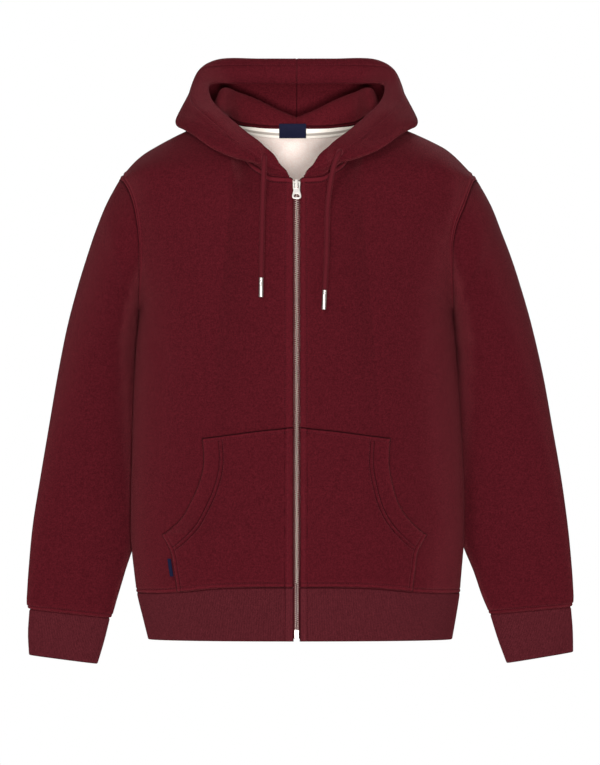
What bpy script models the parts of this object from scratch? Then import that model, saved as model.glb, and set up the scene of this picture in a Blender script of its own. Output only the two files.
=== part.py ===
"""A zip-up hoodie of sweatshirt fleece, filled out as it is when worn.

The cloth pieces are thin walls lofted through sections: fronts and back from the side seams to
the zip, sleeves as tubes from the armholes, the hood as an open bag folded over at its rim.
Tables are in millimetres and the scene is in metres. X is to the right as one looks at the
front, Y runs from the front to the back, Z is up. The origin is at the base of the neck, in
line with the shoulder seams. Left and right are those of somebody who looks at the front.
"""

import math

import bmesh
import bpy
import numpy as np
from mathutils import Vector

MM = 0.001
FLEECE_WALL = 2.0 * MM
LINING_WALL = 1.6 * MM
RIB_WALL = 2.6 * MM
POCKET_WALL = 2.0 * MM
SEAM_GAP = 0.3 * MM
LINING_GAP = 0.8 * MM
HOOD_LIFT = 1.2 * MM  # the hood starts this far above the neckline

ZIP_EDGE = 3.9 * MM  # from the middle of the zip to the edge of a front
SIDE_POWER = 2.3  # how square the body is, seen from above
SIDE_ROUND = 2.0  # how round its side is, below the underarm
ARMHOLE_ROUND = 1.25  # and beside the armhole, where the body runs on into the sleeve
EDGE_POWER = 8  # how near the armhole the body takes up its curve
SHOULDER_ROUND = 70 * MM  # height over which the body rounds off into its top edge
SHOULDER_EASE = 0.5  # how round that is along the shoulder seam
NECK_EASE = 1.0  # and along the neckline

HEM_HEIGHT = -688 * MM
SIDE_SEAM_ROWS = (-625, -590, -540, -470, -400, -340, -290)
CHEST_LOW = -390 * MM  # the chest starts to fill out here towards the armhole,
CHEST_HIGH = -180 * MM  # and is full here
RIB_STEPS = 2
TAPE_STEPS = 12

CORD_DIAMETER = 6.8 * MM
TIP_DIAMETER = 6.2 * MM
TIP_LENGTH = 26.6 * MM

CHAIN_WIDTH = 5.6 * MM
CHAIN_THICK = 2.2 * MM
CHAIN_SUNK = 0.2 * MM  # behind the face of the fronts
CHAIN_TOP = -84 * MM
CHAIN_BOTTOM = -671.5 * MM
BOX_WIDTH = 6 * MM
BOX_THICK = 2.9 * MM
BOX_LENGTH = 12.5 * MM
BOX_SUNK = 0.9 * MM
TAPE_EDGE = 2.9 * MM  # from the middle of the zip to the near edge of a tape
TAPE_WIDTH = 15 * MM
TAPE_THICK = 0.9 * MM
TAPE_TOP = -76 * MM
TAPE_BOTTOM = -684 * MM
METAL_EDGE = 0.5 * MM

HINGE_HEIGHT = -72.7 * MM  # of the line that the pull turns about
HINGE_OUT = 3.9 * MM  # in front of the fronts
SLIDER_ABOVE = 3 * MM
SLIDER_BELOW = 8 * MM

MAROON = (0.098, 0.012, 0.018)
RIB_MAROON = (0.092, 0.015, 0.019)
CREAM = (0.80, 0.70, 0.62)
NAVY = (0.012, 0.016, 0.055)
SILVER = (0.62, 0.60, 0.56)


def table(columns, *rows):
    """Named columns of a table, in metres."""
    values = np.array(rows, float) * MM
    return dict(zip(columns.split(), values.T))


# Half widths of the body at its side seams, and its depth before and behind them.
BODY = table(
    "height left right front back",
    (-688, 200.0, 209.5, 98, 96),
    (-660, 207.0, 214.5, 101, 100),
    (-625, 215.5, 220.0, 105, 105),
    (-592, 220.0, 223.0, 108, 107),
    (-560, 223.3, 225.6, 109, 107),
    (-505, 224.0, 226.3, 110, 105),
    (-443, 222.6, 224.5, 112, 101),
    (-350, 220.0, 219.0, 116, 101),
    (-300, 217.5, 215.5, 118, 104),
    (-242, 213.0, 211.0, 119, 109),
    (-170, 211.0, 209.0, 117, 116),
    (-120, 211.0, 209.0, 108, 114),
    (-69, 211.0, 209.0, 91, 103),
    (-20, 211.0, 209.0, 60, 84),
    (14, 211.0, 209.0, 34, 62),
)

# The seam between the body and the rib, from the zip to the side seam.
RIB_SEAM = table(
    "across height", (0, -616), (60, -616), (110, -618), (150, -622), (190, -624.5), (226, -625)
)

# The armhole, from the shoulder point to the underarm.
ARMHOLE = table(
    "height left right front back",
    (-67, 239.0, 243.0, 0, 0),
    (-72, 232.5, 238.0, 22, 24),
    (-86, 224.5, 232.0, 43, 46),
    (-106, 218.0, 224.5, 57, 61),
    (-130, 213.5, 214.5, 63, 67),
    (-155, 211.0, 209.5, 62, 66),
    (-180, 210.5, 209.0, 56, 60),
    (-205, 211.0, 209.5, 46, 49),
    (-226, 212.0, 210.5, 31, 33),
    (-238, 212.8, 211.0, 14, 15),
    (-242, 213.0, 211.0, 0, 0),
)

# The neckline, from the zip or the middle of the back to the top of the shoulder seam.
NECK_FRONT = table(
    "across depth height",
    (3.9, 91, -69),
    (11, 90, -62),
    (25, 88.5, -61.5),
    (38, 85, -60.5),
    (49, 79, -54),
    (64, 68, -43.5),
    (80, 48, -22.5),
    (90.8, 22, 4.5),
    (93, -4, 14),
)
NECK_BACK = table(
    "across depth height",
    (0, 72, 3.5),
    (24, 70.3, 3.8),
    (47, 65, 5),
    (69, 54.5, 7.3),
    (86, 35, 10.5),
    (93, 4, 14),
)
SHOULDER = table(
    "left left_height right right_height",
    (93, 14, 93, 14),
    (139, 2.5, 139, 2.5),
    (190, -23, 187, -18.5),
    (216, -41, 211, -34),
    (239, -67, 243, -67),
)

# Sleeves: the two ends of each section, seen from the front, its middle and half its depth.
SLEEVE_LEFT = table(
    "outer outer_height inner inner_height middle depth",
    (256, -98, 214.6, -252, 6, 69),
    (271, -134, 215.2, -264, 14, 72),
    (284, -172, 215.6, -282, 20, 73),
    (297, -214, 217.0, -306, 26, 71),
    (311, -267, 215.4, -341, 31, 65),
    (324, -332, 214.4, -385, 36, 58),
    (336, -402, 215.4, -440, 38, 46),
    (347.5, -470, 216.2, -493, 38, 34),
    (357.5, -533, 217.8, -548, 37, 26),
    (362.5, -585, 232.0, -597, 34, 21),
    (365, -622, 243.0, -634, 31, 18),
    (365.5, -640, 248.5, -653, 29.5, 16),
    (361.5, -648, 253.0, -660, 29, 13),
)
SLEEVE_RIGHT = table(
    "outer outer_height inner inner_height middle depth",
    (262, -101, 212.6, -252, 6, 69),
    (277, -138, 213.2, -264, 14, 72),
    (290.5, -173, 213.8, -282, 20, 73),
    (303, -211, 215.2, -306, 26, 71),
    (318, -263, 214.4, -341, 31, 65),
    (334, -332, 214.4, -385, 36, 58),
    (347, -404, 216.4, -440, 38, 46),
    (358.5, -470, 218.4, -493, 38, 34),
    (367.5, -536, 221.0, -548, 37, 26),
    (372.5, -588, 239.5, -597, 34, 21),
    (374.5, -619, 250.0, -628, 31, 18),
    (374.8, -636, 258.5, -648, 29.5, 16),
    (371.0, -645, 262.0, -655, 29, 13),
)
CUFF_LEFT = table(
    "outer outer_height inner inner_height middle depth",
    (361.5, -648, 253.0, -660, 29, 13),
    (363.5, -680, 261.0, -692, 28, 12.5),
    (362.0, -710, 270.0, -722, 27, 11),
)
CUFF_RIGHT = table(
    "outer outer_height inner inner_height middle depth",
    (371.0, -645, 262.0, -655, 29, 13),
    (373.5, -676, 273.0, -690, 28, 12.5),
    (374.0, -706, 284.5, -721, 27, 11),
)

# The hood, from the front of the neck to the middle of the back. Each section starts on the
# neckline and passes these points, across, back and up: where the cloth stands, the near wall,
# the bottom of the bag, the outer wall low and high, the roll of the rim and the face edge.
HOOD = (
    ((11.4, -90.3, -60.7), (11.8, -90.6, -59.8), (12.2, -90.9, -58.9), (12.6, -91.2, -58.0),
     (13.1, -91.4, -57.0), (13.7, -91.6, -55.8), (14.5, -91.8, -54.5)),
    ((25.0, -89.6, -58.5), (25.1, -90.4, -55.5), (25.3, -91.0, -52.3), (25.5, -91.3, -49.0),
     (25.7, -91.3, -45.6), (25.9, -91.0, -42.3), (26.2, -90.3, -39.0)),
    ((38.0, -87.2, -57.0), (38.0, -89.6, -53.2), (38.0, -91.4, -49.2), (38.0, -92.0, -44.6),
     (37.7, -91.4, -39.4), (37.3, -89.6, -33.6), (36.8, -86.6, -27.5)),
    ((49.4, -84.0, -52.6), (49.9, -89.4, -50.2), (50.4, -94.6, -46.8), (50.8, -98.0, -41.4),
     (50.2, -97.4, -34.6), (48.8, -92.4, -26.6), (47.0, -83.6, -18.7)),
    ((66.0, -74.0, -40.4), (69.0, -82.5, -42.6), (73.0, -91.0, -43.8), (78.0, -96.5, -38.6),
     (76.8, -93.6, -28.0), (71.0, -84.0, -17.0), (65.7, -71.6, -6.8)),
    ((84.5, -56.0, -16.4), (92.4, -68.5, -26.0), (101.5, -78.0, -32.0), (112.0, -80.6, -26.6),
     (112.4, -75.2, -10.4), (98.0, -66.4, 1.0), (83.5, -53.0, 8.6)),
    ((96.0, -33.0, 13.0), (109.0, -49.0, 0.4), (124.5, -58.0, -11.4), (140.0, -56.5, -8.0),
     (142.6, -50.4, 7.0), (126.0, -44.0, 21.0), (104.5, -33.0, 27.0)),
    ((103.0, 3.0, 23.5), (119.0, 0.0, 19.5), (140.0, -5.0, 7.5), (157.0, -10.0, 2.0),
     (163.0, -11.0, 13.0), (144.5, -9.0, 36.0), (117.5, -6.0, 43.5)),
    ((97.0, 42.0, 42.0), (110.0, 60.0, 24.0), (127.0, 74.0, -2.0), (149.0, 78.0, -2.0),
     (152.5, 62.0, 28.0), (140.0, 34.0, 62.0), (121.0, 24.0, 60.0)),
    ((79.0, 66.0, 43.0), (93.0, 88.0, 10.0), (109.0, 100.0, -50.0), (131.0, 116.0, -48.0),
     (147.0, 108.0, 18.0), (132.0, 66.0, 84.5), (112.5, 50.0, 68.0)),
    ((55.0, 80.0, 39.0), (66.0, 99.0, -4.0), (75.0, 113.0, -84.0), (92.0, 138.0, -86.0),
     (112.0, 148.0, -4.0), (105.0, 94.0, 97.0), (88.0, 76.0, 69.0)),
    ((27.0, 88.0, 31.0), (32.0, 105.0, -16.0), (37.0, 119.0, -107.0), (45.0, 148.0, -110.0),
     (52.0, 166.0, -16.0), (50.0, 113.0, 97.5), (45.0, 91.0, 69.3)),
    ((0.0, 90.0, 28.0), (0.0, 106.0, -20.0), (0.0, 121.0, -112.0), (0.0, 151.0, -115.0),
     (0.0, 170.0, -18.0), (0.0, 118.0, 97.5), (0.0, 96.0, 69.0)),
)
HOOD_ROWS = (0, 0.55, 1.1, 1.7, 2.4, 3, 3.5, 4, 4.5, 5.2, 6, 6.5, 7)  # where along those points

# Outer edge of the pockets, from the rib to the top corner of the hand opening.
POCKET = table(
    "height left right",
    (-620, 160.5, 155.7),
    (-592, 164.8, 159.5),
    (-566, 169.5, 163.4),
    (-543, 181.8, 176.0),
    (-536, 171.0, 165.0),
    (-520, 154.0, 148.5),
    (-502, 143.5, 137.0),
    (-478, 132.5, 129.5),
    (-450, 125.5, 124.8),
    (-415, 127.2, 126.5),
)
POCKET_TOP = table("across height", (0, -399.5), (55, -405), (100, -411), (130, -415))
POCKET_SEAT = 0.9 * MM  # from the front to the pocket's sewn edges
POCKET_SWELL = 4.0 * MM
POCKET_SHARES = (0, 0.12, 0.26, 0.4, 0.54, 0.68, 0.8, 0.9, 1.0)

POCKET_CLEAR = 1.0 * MM  # above the seam of the rib

SIDE_TAB = {"height": -589 * MM, "length": 24 * MM, "width": 5.4 * MM, "thick": 0.9 * MM}
SIDE_TAB_CLEAR = 1.0 * MM  # beside the pocket's edge
SIDE_TAB_OUT = 2.2 * MM  # from the front to the tab's face

NECK_TAPE_ROWS = (12 * MM, 6 * MM, 0.5 * MM)  # distances below the neckline
NECK_TAPE_THICK = 0.8 * MM
NECK_TAPE_CLEAR = 0.9 * MM  # inside the back's wall
LABEL = table("height depth", (-12.0, 70.6), (-4.0, 67.1), (3.0, 65.6), (8.0, 65.4))
LABEL_ENDS = (-24 * MM, 13 * MM)
LABEL_THICK = 0.7 * MM

# Blocks of the slider and holes of the pull: width, thickness and height, then how far each
# lies behind and above the hinge line.
SLIDER_PLATE = (10.2, 1.8, 12.4, 2.0, -3.4)
SLIDER_BLOCKS = {
    "slider_core": (4.6, 6.0, 10.4, 5.4, -2.7),
    "slider_back": (9.0, 1.0, 10.4, 8.8, -2.7),
    "bridge_top": (3.6, 3.6, 1.4, 0.2, 2.0),
    "bridge_low": (3.6, 3.6, 1.4, 0.2, -7.2),
    "bridge_arch": (3.6, 1.0, 10.6, -1.6, -2.6),
}
PULL_HOLES = {
    "pull_eye": (5.2, 4.0, 9.6, 0.0, -5.6),
    "pull_window": (7.2, 4.0, 4.4, 0.0, -18.6),
}
PULL_THICK = 1.2 * MM
PULL_OUTLINE = table(
    "across height",
    (5.0, 0.9),
    (4.6, -4.5),
    (4.2, -9.2),
    (4.9, -13.5),
    (6.1, -18.4),
    (5.9, -21.4),
    (4.6, -23.2),
)

# The free ends of the drawcord, from the hood's tunnel to the metal tips.
CORD_LEFT = (
    (-43.5, -98.6, -42.5), (-43.5, -101.2, -48.0), (-43.8, -102.4, -56.0),
    (-44.6, -103.8, -78.0), (-45.4, -108.0, -102.0), (-45.9, -112.6, -122.0),
    (-46.3, -117.8, -150.0), (-46.9, -121.2, -176.0), (-47.2, -122.6, -200.4),
)
CORD_RIGHT = (
    (57.2, -100.6, -34.0), (55.4, -103.2, -37.0), (52.8, -105.2, -43.0),
    (49.2, -106.2, -54.0), (45.2, -106.4, -74.0), (42.0, -108.6, -100.0),
    (40.9, -113.0, -122.0), (40.5, -118.0, -150.0), (39.7, -121.4, -176.0),
    (38.5, -123.0, -200.0), (37.6, -123.6, -217.0),
)


def curve_through(keys, values, at):
    """Values on a smooth curve through the rows, at each key in at."""
    keys = np.asarray(keys, float)
    values = np.asarray(values, float)
    at = np.clip(np.asarray(at, float), keys[0], keys[-1])
    slopes = np.gradient(values, keys, axis=0)
    row = np.clip(np.searchsorted(keys, at) - 1, 0, len(keys) - 2)
    step = keys[row + 1] - keys[row]
    part = (at - keys[row]) / step
    if values.ndim > 1:
        step = step[..., None]
        part = part[..., None]
    ease = part * part * (3 - 2 * part)
    return (
        values[row] * (1 - ease)
        + values[row + 1] * ease
        + slopes[row] * step * part * (1 - part) ** 2
        - slopes[row + 1] * step * part * part * (1 - part)
    )


def body_at(column, height):
    return curve_through(BODY["height"], BODY[column], height)


def side_name(side):
    return "left" if side < 0 else "right"


def rib_seam_height(across):
    return np.interp(across, RIB_SEAM["across"], RIB_SEAM["height"])


def around(share, power=SIDE_ROUND):
    """Depth of the body's section, as a share of its most, at a share of its half width."""
    return (1 - np.clip(share, 0, 1) ** SIDE_POWER) ** (1 / power)


def hem_shares(side, face):
    """Shares of the half width at the hem: between those at the top and ones that crowd towards
    the round side."""
    across = top_edge(side, face)[0]
    even = np.arange(len(across)) / (len(across) - 1)
    crowded = 0.45 * even + 0.55 * np.sin(even * math.pi / 2)
    return (crowded + (across - across[0]) / (across[-1] - across[0])) / 2


def lower_body(side, face, share, height, inner):
    """Points of the body below the underarm."""
    width = body_at(side_name(side), height)
    across = inner + (width - inner) * share
    depth = body_at(face, height) * around(share)
    sign = -1 if face == "front" else 1
    return np.stack([side * across, sign * depth, height + 0 * across], axis=-1)


def top_edge(side, face):
    """Neckline and shoulder seam, as columns across, depth and height."""
    neck = NECK_FRONT if face == "front" else NECK_BACK
    name = side_name(side)
    toward = -1 if face == "front" else 1
    across = np.concatenate([neck["across"], SHOULDER[name][1:]])
    height = np.concatenate([neck["height"], SHOULDER[name + "_height"][1:]])
    ridge = toward * 4 * MM * np.linspace(1, 0, len(SHOULDER[name]))[1:]
    return across, np.concatenate([neck["depth"], ridge]), height, len(neck["across"])


def half_panel(side, face):
    """Half of the body's front or back: rows from the rib up, columns from the middle out."""
    name = side_name(side)
    top_across, top_depth, top_height, neck_points = top_edge(side, face)
    seam_rows = np.array(SIDE_SEAM_ROWS) * MM
    height = np.concatenate([seam_rows, ARMHOLE["height"][::-1]])
    width = np.concatenate([body_at(name, seam_rows), ARMHOLE[name][::-1]])
    edge_depth = np.concatenate([0 * seam_rows, ARMHOLE[face][::-1]])
    lift = (height - height[0]) / (height[-1] - height[0])

    inner = top_across[0]
    high = (top_across - inner) / (top_across[-1] - inner)
    low = hem_shares(side, face)
    share = low + (high - low) * lift[:, None] ** 2
    across = inner + (width[:, None] - inner) * share
    bottom = rib_seam_height(across[0])
    up = bottom + (top_height - bottom) * lift[:, None]

    chest = np.clip((height - CHEST_LOW) / (CHEST_HIGH - CHEST_LOW), 0, 1)[:, None]
    chest = chest * chest * (3 - 2 * chest)
    beside = share**EDGE_POWER
    edge = edge_depth[:, None] * beside + edge_depth.max() * chest * (1 - beside)
    roundness = SIDE_ROUND + (ARMHOLE_ROUND - SIDE_ROUND) * edge / edge_depth.max()
    section = (1 - share**SIDE_POWER) ** (1 / roundness)
    depth = edge + (body_at(face, up) - edge) * section

    neck_end = top_across[neck_points - 1]
    from_neck = np.where(
        top_across > neck_end,
        (top_across - neck_end) / (top_across[-1] - neck_end),
        1 - top_across / neck_end,
    )
    reach = SHOULDER_ROUND * (1 - from_neck**2)
    fall = np.where(reach > 0, (top_height - up) / np.maximum(reach, 1e-9), 1)
    along_neck = np.where(top_across < neck_end, from_neck, 0)
    steep = SHOULDER_EASE + (NECK_EASE - SHOULDER_EASE) * np.sqrt(along_neck)
    ease = (1 - (1 - np.clip(fall, 0, 1)) ** 2) ** steep
    depth = top_depth + (depth - top_depth) * ease
    sign = -1 if face == "front" else 1
    return np.stack([side * across, sign * depth, up], axis=-1)


def back_panel():
    """The whole back, columns from the right side seam to the left one."""
    right = half_panel(1, "back")[:, ::-1]
    left = half_panel(-1, "back")
    return np.concatenate([right, left[:, 1:]], axis=1)


def rib_band():
    """The hem band, columns from the right edge of the zip round the back to the left edge."""
    runs = (
        (1, "front", hem_shares(1, "front"), ZIP_EDGE),
        (1, "back", hem_shares(1, "back")[::-1][1:], 0),
        (-1, "back", hem_shares(-1, "back")[1:], 0),
        (-1, "front", hem_shares(-1, "front")[::-1][1:], ZIP_EDGE),
    )
    rows = []
    for step in range(RIB_STEPS + 1):
        part = step / RIB_STEPS
        row = []
        for side, face, shares, inner in runs:
            seam = rib_seam_height(inner + (body_at(side_name(side), -625 * MM) - inner) * shares)
            height = HEM_HEIGHT + (seam - HEM_HEIGHT) * part
            row.append(lower_body(side, face, shares, height, inner))
        rows.append(np.concatenate(row))
    return np.array(rows)


def ring(section, side):
    """One section of a sleeve or cuff, anticlockwise from above, starting at its outer end."""
    steps = 2 * (len(ARMHOLE["height"]) - 1)
    angle = np.arange(steps) * 2 * math.pi / steps
    along = np.sign(np.cos(angle)) * np.abs(np.cos(angle)) ** 0.92
    sideways = np.sign(np.sin(angle)) * np.abs(np.sin(angle)) ** 0.92
    outer, outer_height, inner, inner_height, middle, depth = section
    across = (outer + inner) / 2 + (outer - inner) / 2 * along
    up = (outer_height + inner_height) / 2 + (outer_height - inner_height) / 2 * along
    points = np.stack([side * across, middle - depth * sideways, up], axis=-1)
    return turned(points, side)


def turned(points, side):
    """Columns run the other way round on the right side, and start at the same point."""
    return points if side < 0 else np.roll(points[::-1], 1, axis=0)


def armhole_ring(side):
    name = side_name(side)
    front = np.stack([side * ARMHOLE[name], -ARMHOLE["front"], ARMHOLE["height"]], axis=-1)
    back = np.stack([side * ARMHOLE[name], ARMHOLE["back"], ARMHOLE["height"]], axis=-1)
    return turned(np.concatenate([front, back[::-1][1:-1]]), side)


def tube(sections, side):
    """Rows of a sleeve or cuff, from its lower end up."""
    rows = zip(*sections.values())
    return np.array([ring(section, side) for section in rows])[::-1]


def sleeve(side):
    sections = SLEEVE_LEFT if side < 0 else SLEEVE_RIGHT
    return np.concatenate([tube(sections, side), armhole_ring(side)[None]])


def hood_half(side):
    """The hood's outer cloth: rows from the neckline to the face edge."""
    front = np.stack(
        [NECK_FRONT["across"], -NECK_FRONT["depth"], NECK_FRONT["height"]], axis=-1
    )[1:]
    back = np.stack([NECK_BACK["across"], NECK_BACK["depth"], NECK_BACK["height"]], axis=-1)
    neck = np.concatenate([front, back[::-1][1:]]) + (0, 0, HOOD_LIFT)
    columns = []
    for start, row in zip(neck, HOOD):
        guides = np.concatenate([start[None], np.array(row) * MM])
        columns.append(curve_through(np.arange(len(guides)), guides, HOOD_ROWS))
    grid = np.stack(columns, axis=1) * (side, 1, 1)
    return grid if side > 0 else grid[:, ::-1]


def grid_normals(grid, closed=False):
    """Unit normals of a grid, outwards where columns run anticlockwise and rows run up."""
    if closed:
        across = np.roll(grid, -1, axis=1) - np.roll(grid, 1, axis=1)
    else:
        across = np.gradient(grid, axis=1)
    normals = np.cross(across, np.gradient(grid, axis=0))
    return normals / np.linalg.norm(normals, axis=-1, keepdims=True)


def shared_normals(grids):
    """Normals of each (grid, closed), averaged where two pieces meet and face the same way."""
    own = [grid_normals(grid, closed) for grid, closed in grids]
    meeting = {}
    for (grid, _), normals in zip(grids, own):
        for point, normal in zip(grid.reshape(-1, 3), normals.reshape(-1, 3)):
            meeting.setdefault(tuple(np.round(point, 6)), []).append(normal)
    shared = []
    for (grid, _), normals in zip(grids, own):
        result = np.zeros_like(normals)
        for index in np.ndindex(grid.shape[:2]):
            for other in meeting[tuple(np.round(grid[index], 6))]:
                if other @ normals[index] > 0.35:
                    result[index] += other
        shared.append(result / np.linalg.norm(result, axis=-1, keepdims=True))
    return shared


def drawn_in(grid, closed=False):
    """The grid with its free edges half a seam gap back from where it meets its neighbours."""
    grid = grid.copy()
    edges = [(grid[0], grid[1]), (grid[-1], grid[-2])]
    if not closed:
        edges += [(grid[:, 0], grid[:, 1]), (grid[:, -1], grid[:, -2])]
    for edge, beside in edges:
        way = beside - edge
        edge += way / np.linalg.norm(way, axis=-1, keepdims=True) * SEAM_GAP / 2
    return grid


def finish(name, colour, roughness, metallic=0.0):
    material = bpy.data.materials.new(name)
    material.use_nodes = True
    shader = material.node_tree.nodes["Principled BSDF"]
    shader.inputs["Base Color"].default_value = (*colour, 1)
    shader.inputs["Roughness"].default_value = roughness
    shader.inputs["Metallic"].default_value = metallic
    return material


def place(obj, material):
    """Puts an object in the garment's collection with its material."""
    for holder in list(obj.users_collection):
        holder.objects.unlink(obj)
    garment.objects.link(obj)
    obj.data.materials.clear()
    obj.data.materials.append(material)
    return obj


def shell(name, grid, wall, material, normals=None, closed=False):
    """A wall of cloth under a grid of outside points, with rims round its open edges."""
    if normals is None:
        normals = grid_normals(grid, closed)
    grid = drawn_in(grid, closed)
    rows, columns = grid.shape[:2]
    points = np.concatenate([grid.reshape(-1, 3), (grid - wall * normals).reshape(-1, 3)])
    depth = rows * columns

    def at(row, column, layer=0):
        return layer * depth + row * columns + column % columns

    faces = []
    last = columns if closed else columns - 1
    for row in range(rows - 1):
        for column in range(last):
            corners = ((row, column), (row, column + 1), (row + 1, column + 1), (row + 1, column))
            faces.append([at(*corner) for corner in corners])
            faces.append([at(*corners[turn], 1) for turn in (0, 3, 2, 1)])
    rims = [((0, c + 1), (0, c)) for c in range(last)]
    rims += [((rows - 1, c), (rows - 1, c + 1)) for c in range(last)]
    if not closed:
        rims += [((r, 0), (r + 1, 0)) for r in range(rows - 1)]
        rims += [((r + 1, columns - 1), (r, columns - 1)) for r in range(rows - 1)]
    for start, end in rims:
        faces.append([at(*start), at(*end), at(*end, 1), at(*start, 1)])
    mesh = bpy.data.meshes.new(name)
    mesh.from_pydata([tuple(point) for point in points], [], faces)
    mesh.update()
    mesh.shade_smooth()
    mesh.set_sharp_from_angle(angle=math.radians(50))
    obj = bpy.data.objects.new(name, mesh)
    return place(obj, material)


def body_pieces():
    """Fronts, back, sleeves, cuffs and rib, which share their seam lines."""
    grids = {
        "front_left": (half_panel(-1, "front")[:, ::-1], False),
        "front_right": (half_panel(1, "front"), False),
        "back": (back_panel(), False),
        "hem_rib": (rib_band(), False),
        "sleeve_left": (sleeve(-1), True),
        "sleeve_right": (sleeve(1), True),
        "cuff_left": (tube(CUFF_LEFT, -1), True),
        "cuff_right": (tube(CUFF_RIGHT, 1), True),
    }
    normals = dict(zip(grids, shared_normals(list(grids.values()))))
    for name, (grid, closed) in grids.items():
        knit = name.startswith(("cuff", "hem"))
        wall = RIB_WALL if knit else FLEECE_WALL
        shell(name, grid, wall, rib_cloth if knit else fleece, normals[name], closed)
    return grids["back"][0], normals["back"]


def hood_pieces():
    """Outer cloth and lining, each in two halves that meet in the crown seam."""
    grids = [(hood_half(side), False) for side in (-1, 1)]
    normals = shared_normals(grids)
    for side, (grid, _), out in zip(("left", "right"), grids, normals):
        shell(f"hood_outer_{side}", grid, FLEECE_WALL, fleece, out)
        inside = grid - (FLEECE_WALL + LINING_GAP) * out
        shell(f"hood_lining_{side}", inside, LINING_WALL, lining_cloth, out)


def pocket(side):
    """A kangaroo pocket: points of the front, moved out, and fuller in the middle."""
    name = side_name(side)
    shares = np.array(POCKET_SHARES)
    rows = []
    for height, edge in zip(POCKET["height"], POCKET[name]):
        across = ZIP_EDGE + (edge - ZIP_EDGE) * shares
        top = np.interp(across, POCKET_TOP["across"], POCKET_TOP["height"])
        part = (height - POCKET["height"][0]) / (POCKET["height"][-1] - POCKET["height"][0])
        bottom = rib_seam_height(across) + POCKET_CLEAR
        up = bottom + (top - bottom) * part
        share = (across - ZIP_EDGE) / (body_at(name, up) - ZIP_EDGE)
        rows.append(lower_body(side, "front", share, up, ZIP_EDGE))
    grid = np.array(rows)
    if side < 0:
        grid = grid[:, ::-1]
        shares = 1 - shares[::-1]
    normals = grid_normals(grid)
    parts = np.linspace(0, 1, len(rows))[:, None]
    swell = POCKET_SWELL * np.sin(parts * math.pi) ** 0.7 * np.sin(shares * math.pi) ** 0.7
    lifted = grid + normals * (POCKET_SEAT + POCKET_WALL + swell)[..., None]
    shell(f"pocket_{name}", lifted, POCKET_WALL, fleece, normals)


def side_tab():
    """A folded tab that stands out of the left pocket's side seam."""
    height = SIDE_TAB["height"] + SIDE_TAB["length"] * (np.array([0, 0.5, 1]) - 0.5)
    edge = curve_through(POCKET["height"], POCKET["left"], height) + SIDE_TAB_CLEAR
    outer = edge + SIDE_TAB["width"]
    rows = []
    for up, start, end in zip(height, edge, outer):
        across = np.array([end, start])
        share = (across - ZIP_EDGE) / (body_at("left", up) - ZIP_EDGE)
        rows.append(lower_body(-1, "front", share, np.full(2, up), ZIP_EDGE))
    grid = np.array(rows)
    normals = grid_normals(grid)
    shell("side_tab", grid + normals * SIDE_TAB_OUT, SIDE_TAB["thick"], navy_weave, normals)


def neck_trim(back, normals):
    """The woven tape inside the back neckline, and the label that hangs over it."""
    middle = back.shape[1] // 2
    reach = len(NECK_BACK["across"]) - 1
    columns = range(middle - reach, middle + reach + 1)
    rows = []
    for distance in NECK_TAPE_ROWS:
        row = []
        for column in columns:
            line = back[::-1, column]
            run = np.concatenate([[0], np.cumsum(np.linalg.norm(np.diff(line, axis=0), axis=1))])
            point = [np.interp(distance, run, line[:, axis]) for axis in range(3)]
            normal = [np.interp(distance, run, normals[::-1, column, axis]) for axis in range(3)]
            row.append(np.array(point) - (FLEECE_WALL + NECK_TAPE_CLEAR) * np.array(normal))
        rows.append(row)
    shell("neck_tape", np.array(rows), NECK_TAPE_THICK, cream_twill)
    ends = np.linspace(LABEL_ENDS[1], LABEL_ENDS[0], 3)
    rows = [[(x, depth, height) for x in ends] for height, depth in zip(*LABEL.values())]
    shell("neck_label", np.array(rows), LABEL_THICK, navy_weave)


def zip_strip(name, ends, back_by, thick, top, bottom, material):
    """A strip along the middle of the front, this far behind its face."""
    height = np.linspace(bottom, top, TAPE_STEPS + 1)
    depth = -body_at("front", height) + back_by
    grid = np.array([[(x, y, z) for x in sorted(ends)] for y, z in zip(depth, height)])
    shell(name, grid, thick, material)


def round_edges(obj):
    edge = obj.modifiers.new("edge", "BEVEL")
    edge.width = METAL_EDGE
    edge.segments = 2


def box(name, size, middle):
    """A plain box mesh."""
    mesh = bpy.data.meshes.new(name)
    bm = bmesh.new()
    bmesh.ops.create_cube(bm, size=1)
    bmesh.ops.scale(bm, vec=size, verts=bm.verts)
    bmesh.ops.translate(bm, vec=middle, verts=bm.verts)
    bm.to_mesh(mesh)
    bm.free()
    return bpy.data.objects.new(name, mesh)


def block(name, sizes):
    """A box from a row of the slider's table."""
    width, thick, tall, behind, above = (value * MM for value in sizes)
    return box(name, (width, thick, tall), (0, behind, above))


def cut_or_join(obj, other, operation):
    """Adds an exact Boolean whose other shape stays out of the render."""
    helpers.objects.link(other)
    other.hide_render = True
    other.display_type = "WIRE"
    other.parent = obj.parent
    change = obj.modifiers.new(other.name, "BOOLEAN")
    change.operation = operation
    change.object = other


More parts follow.
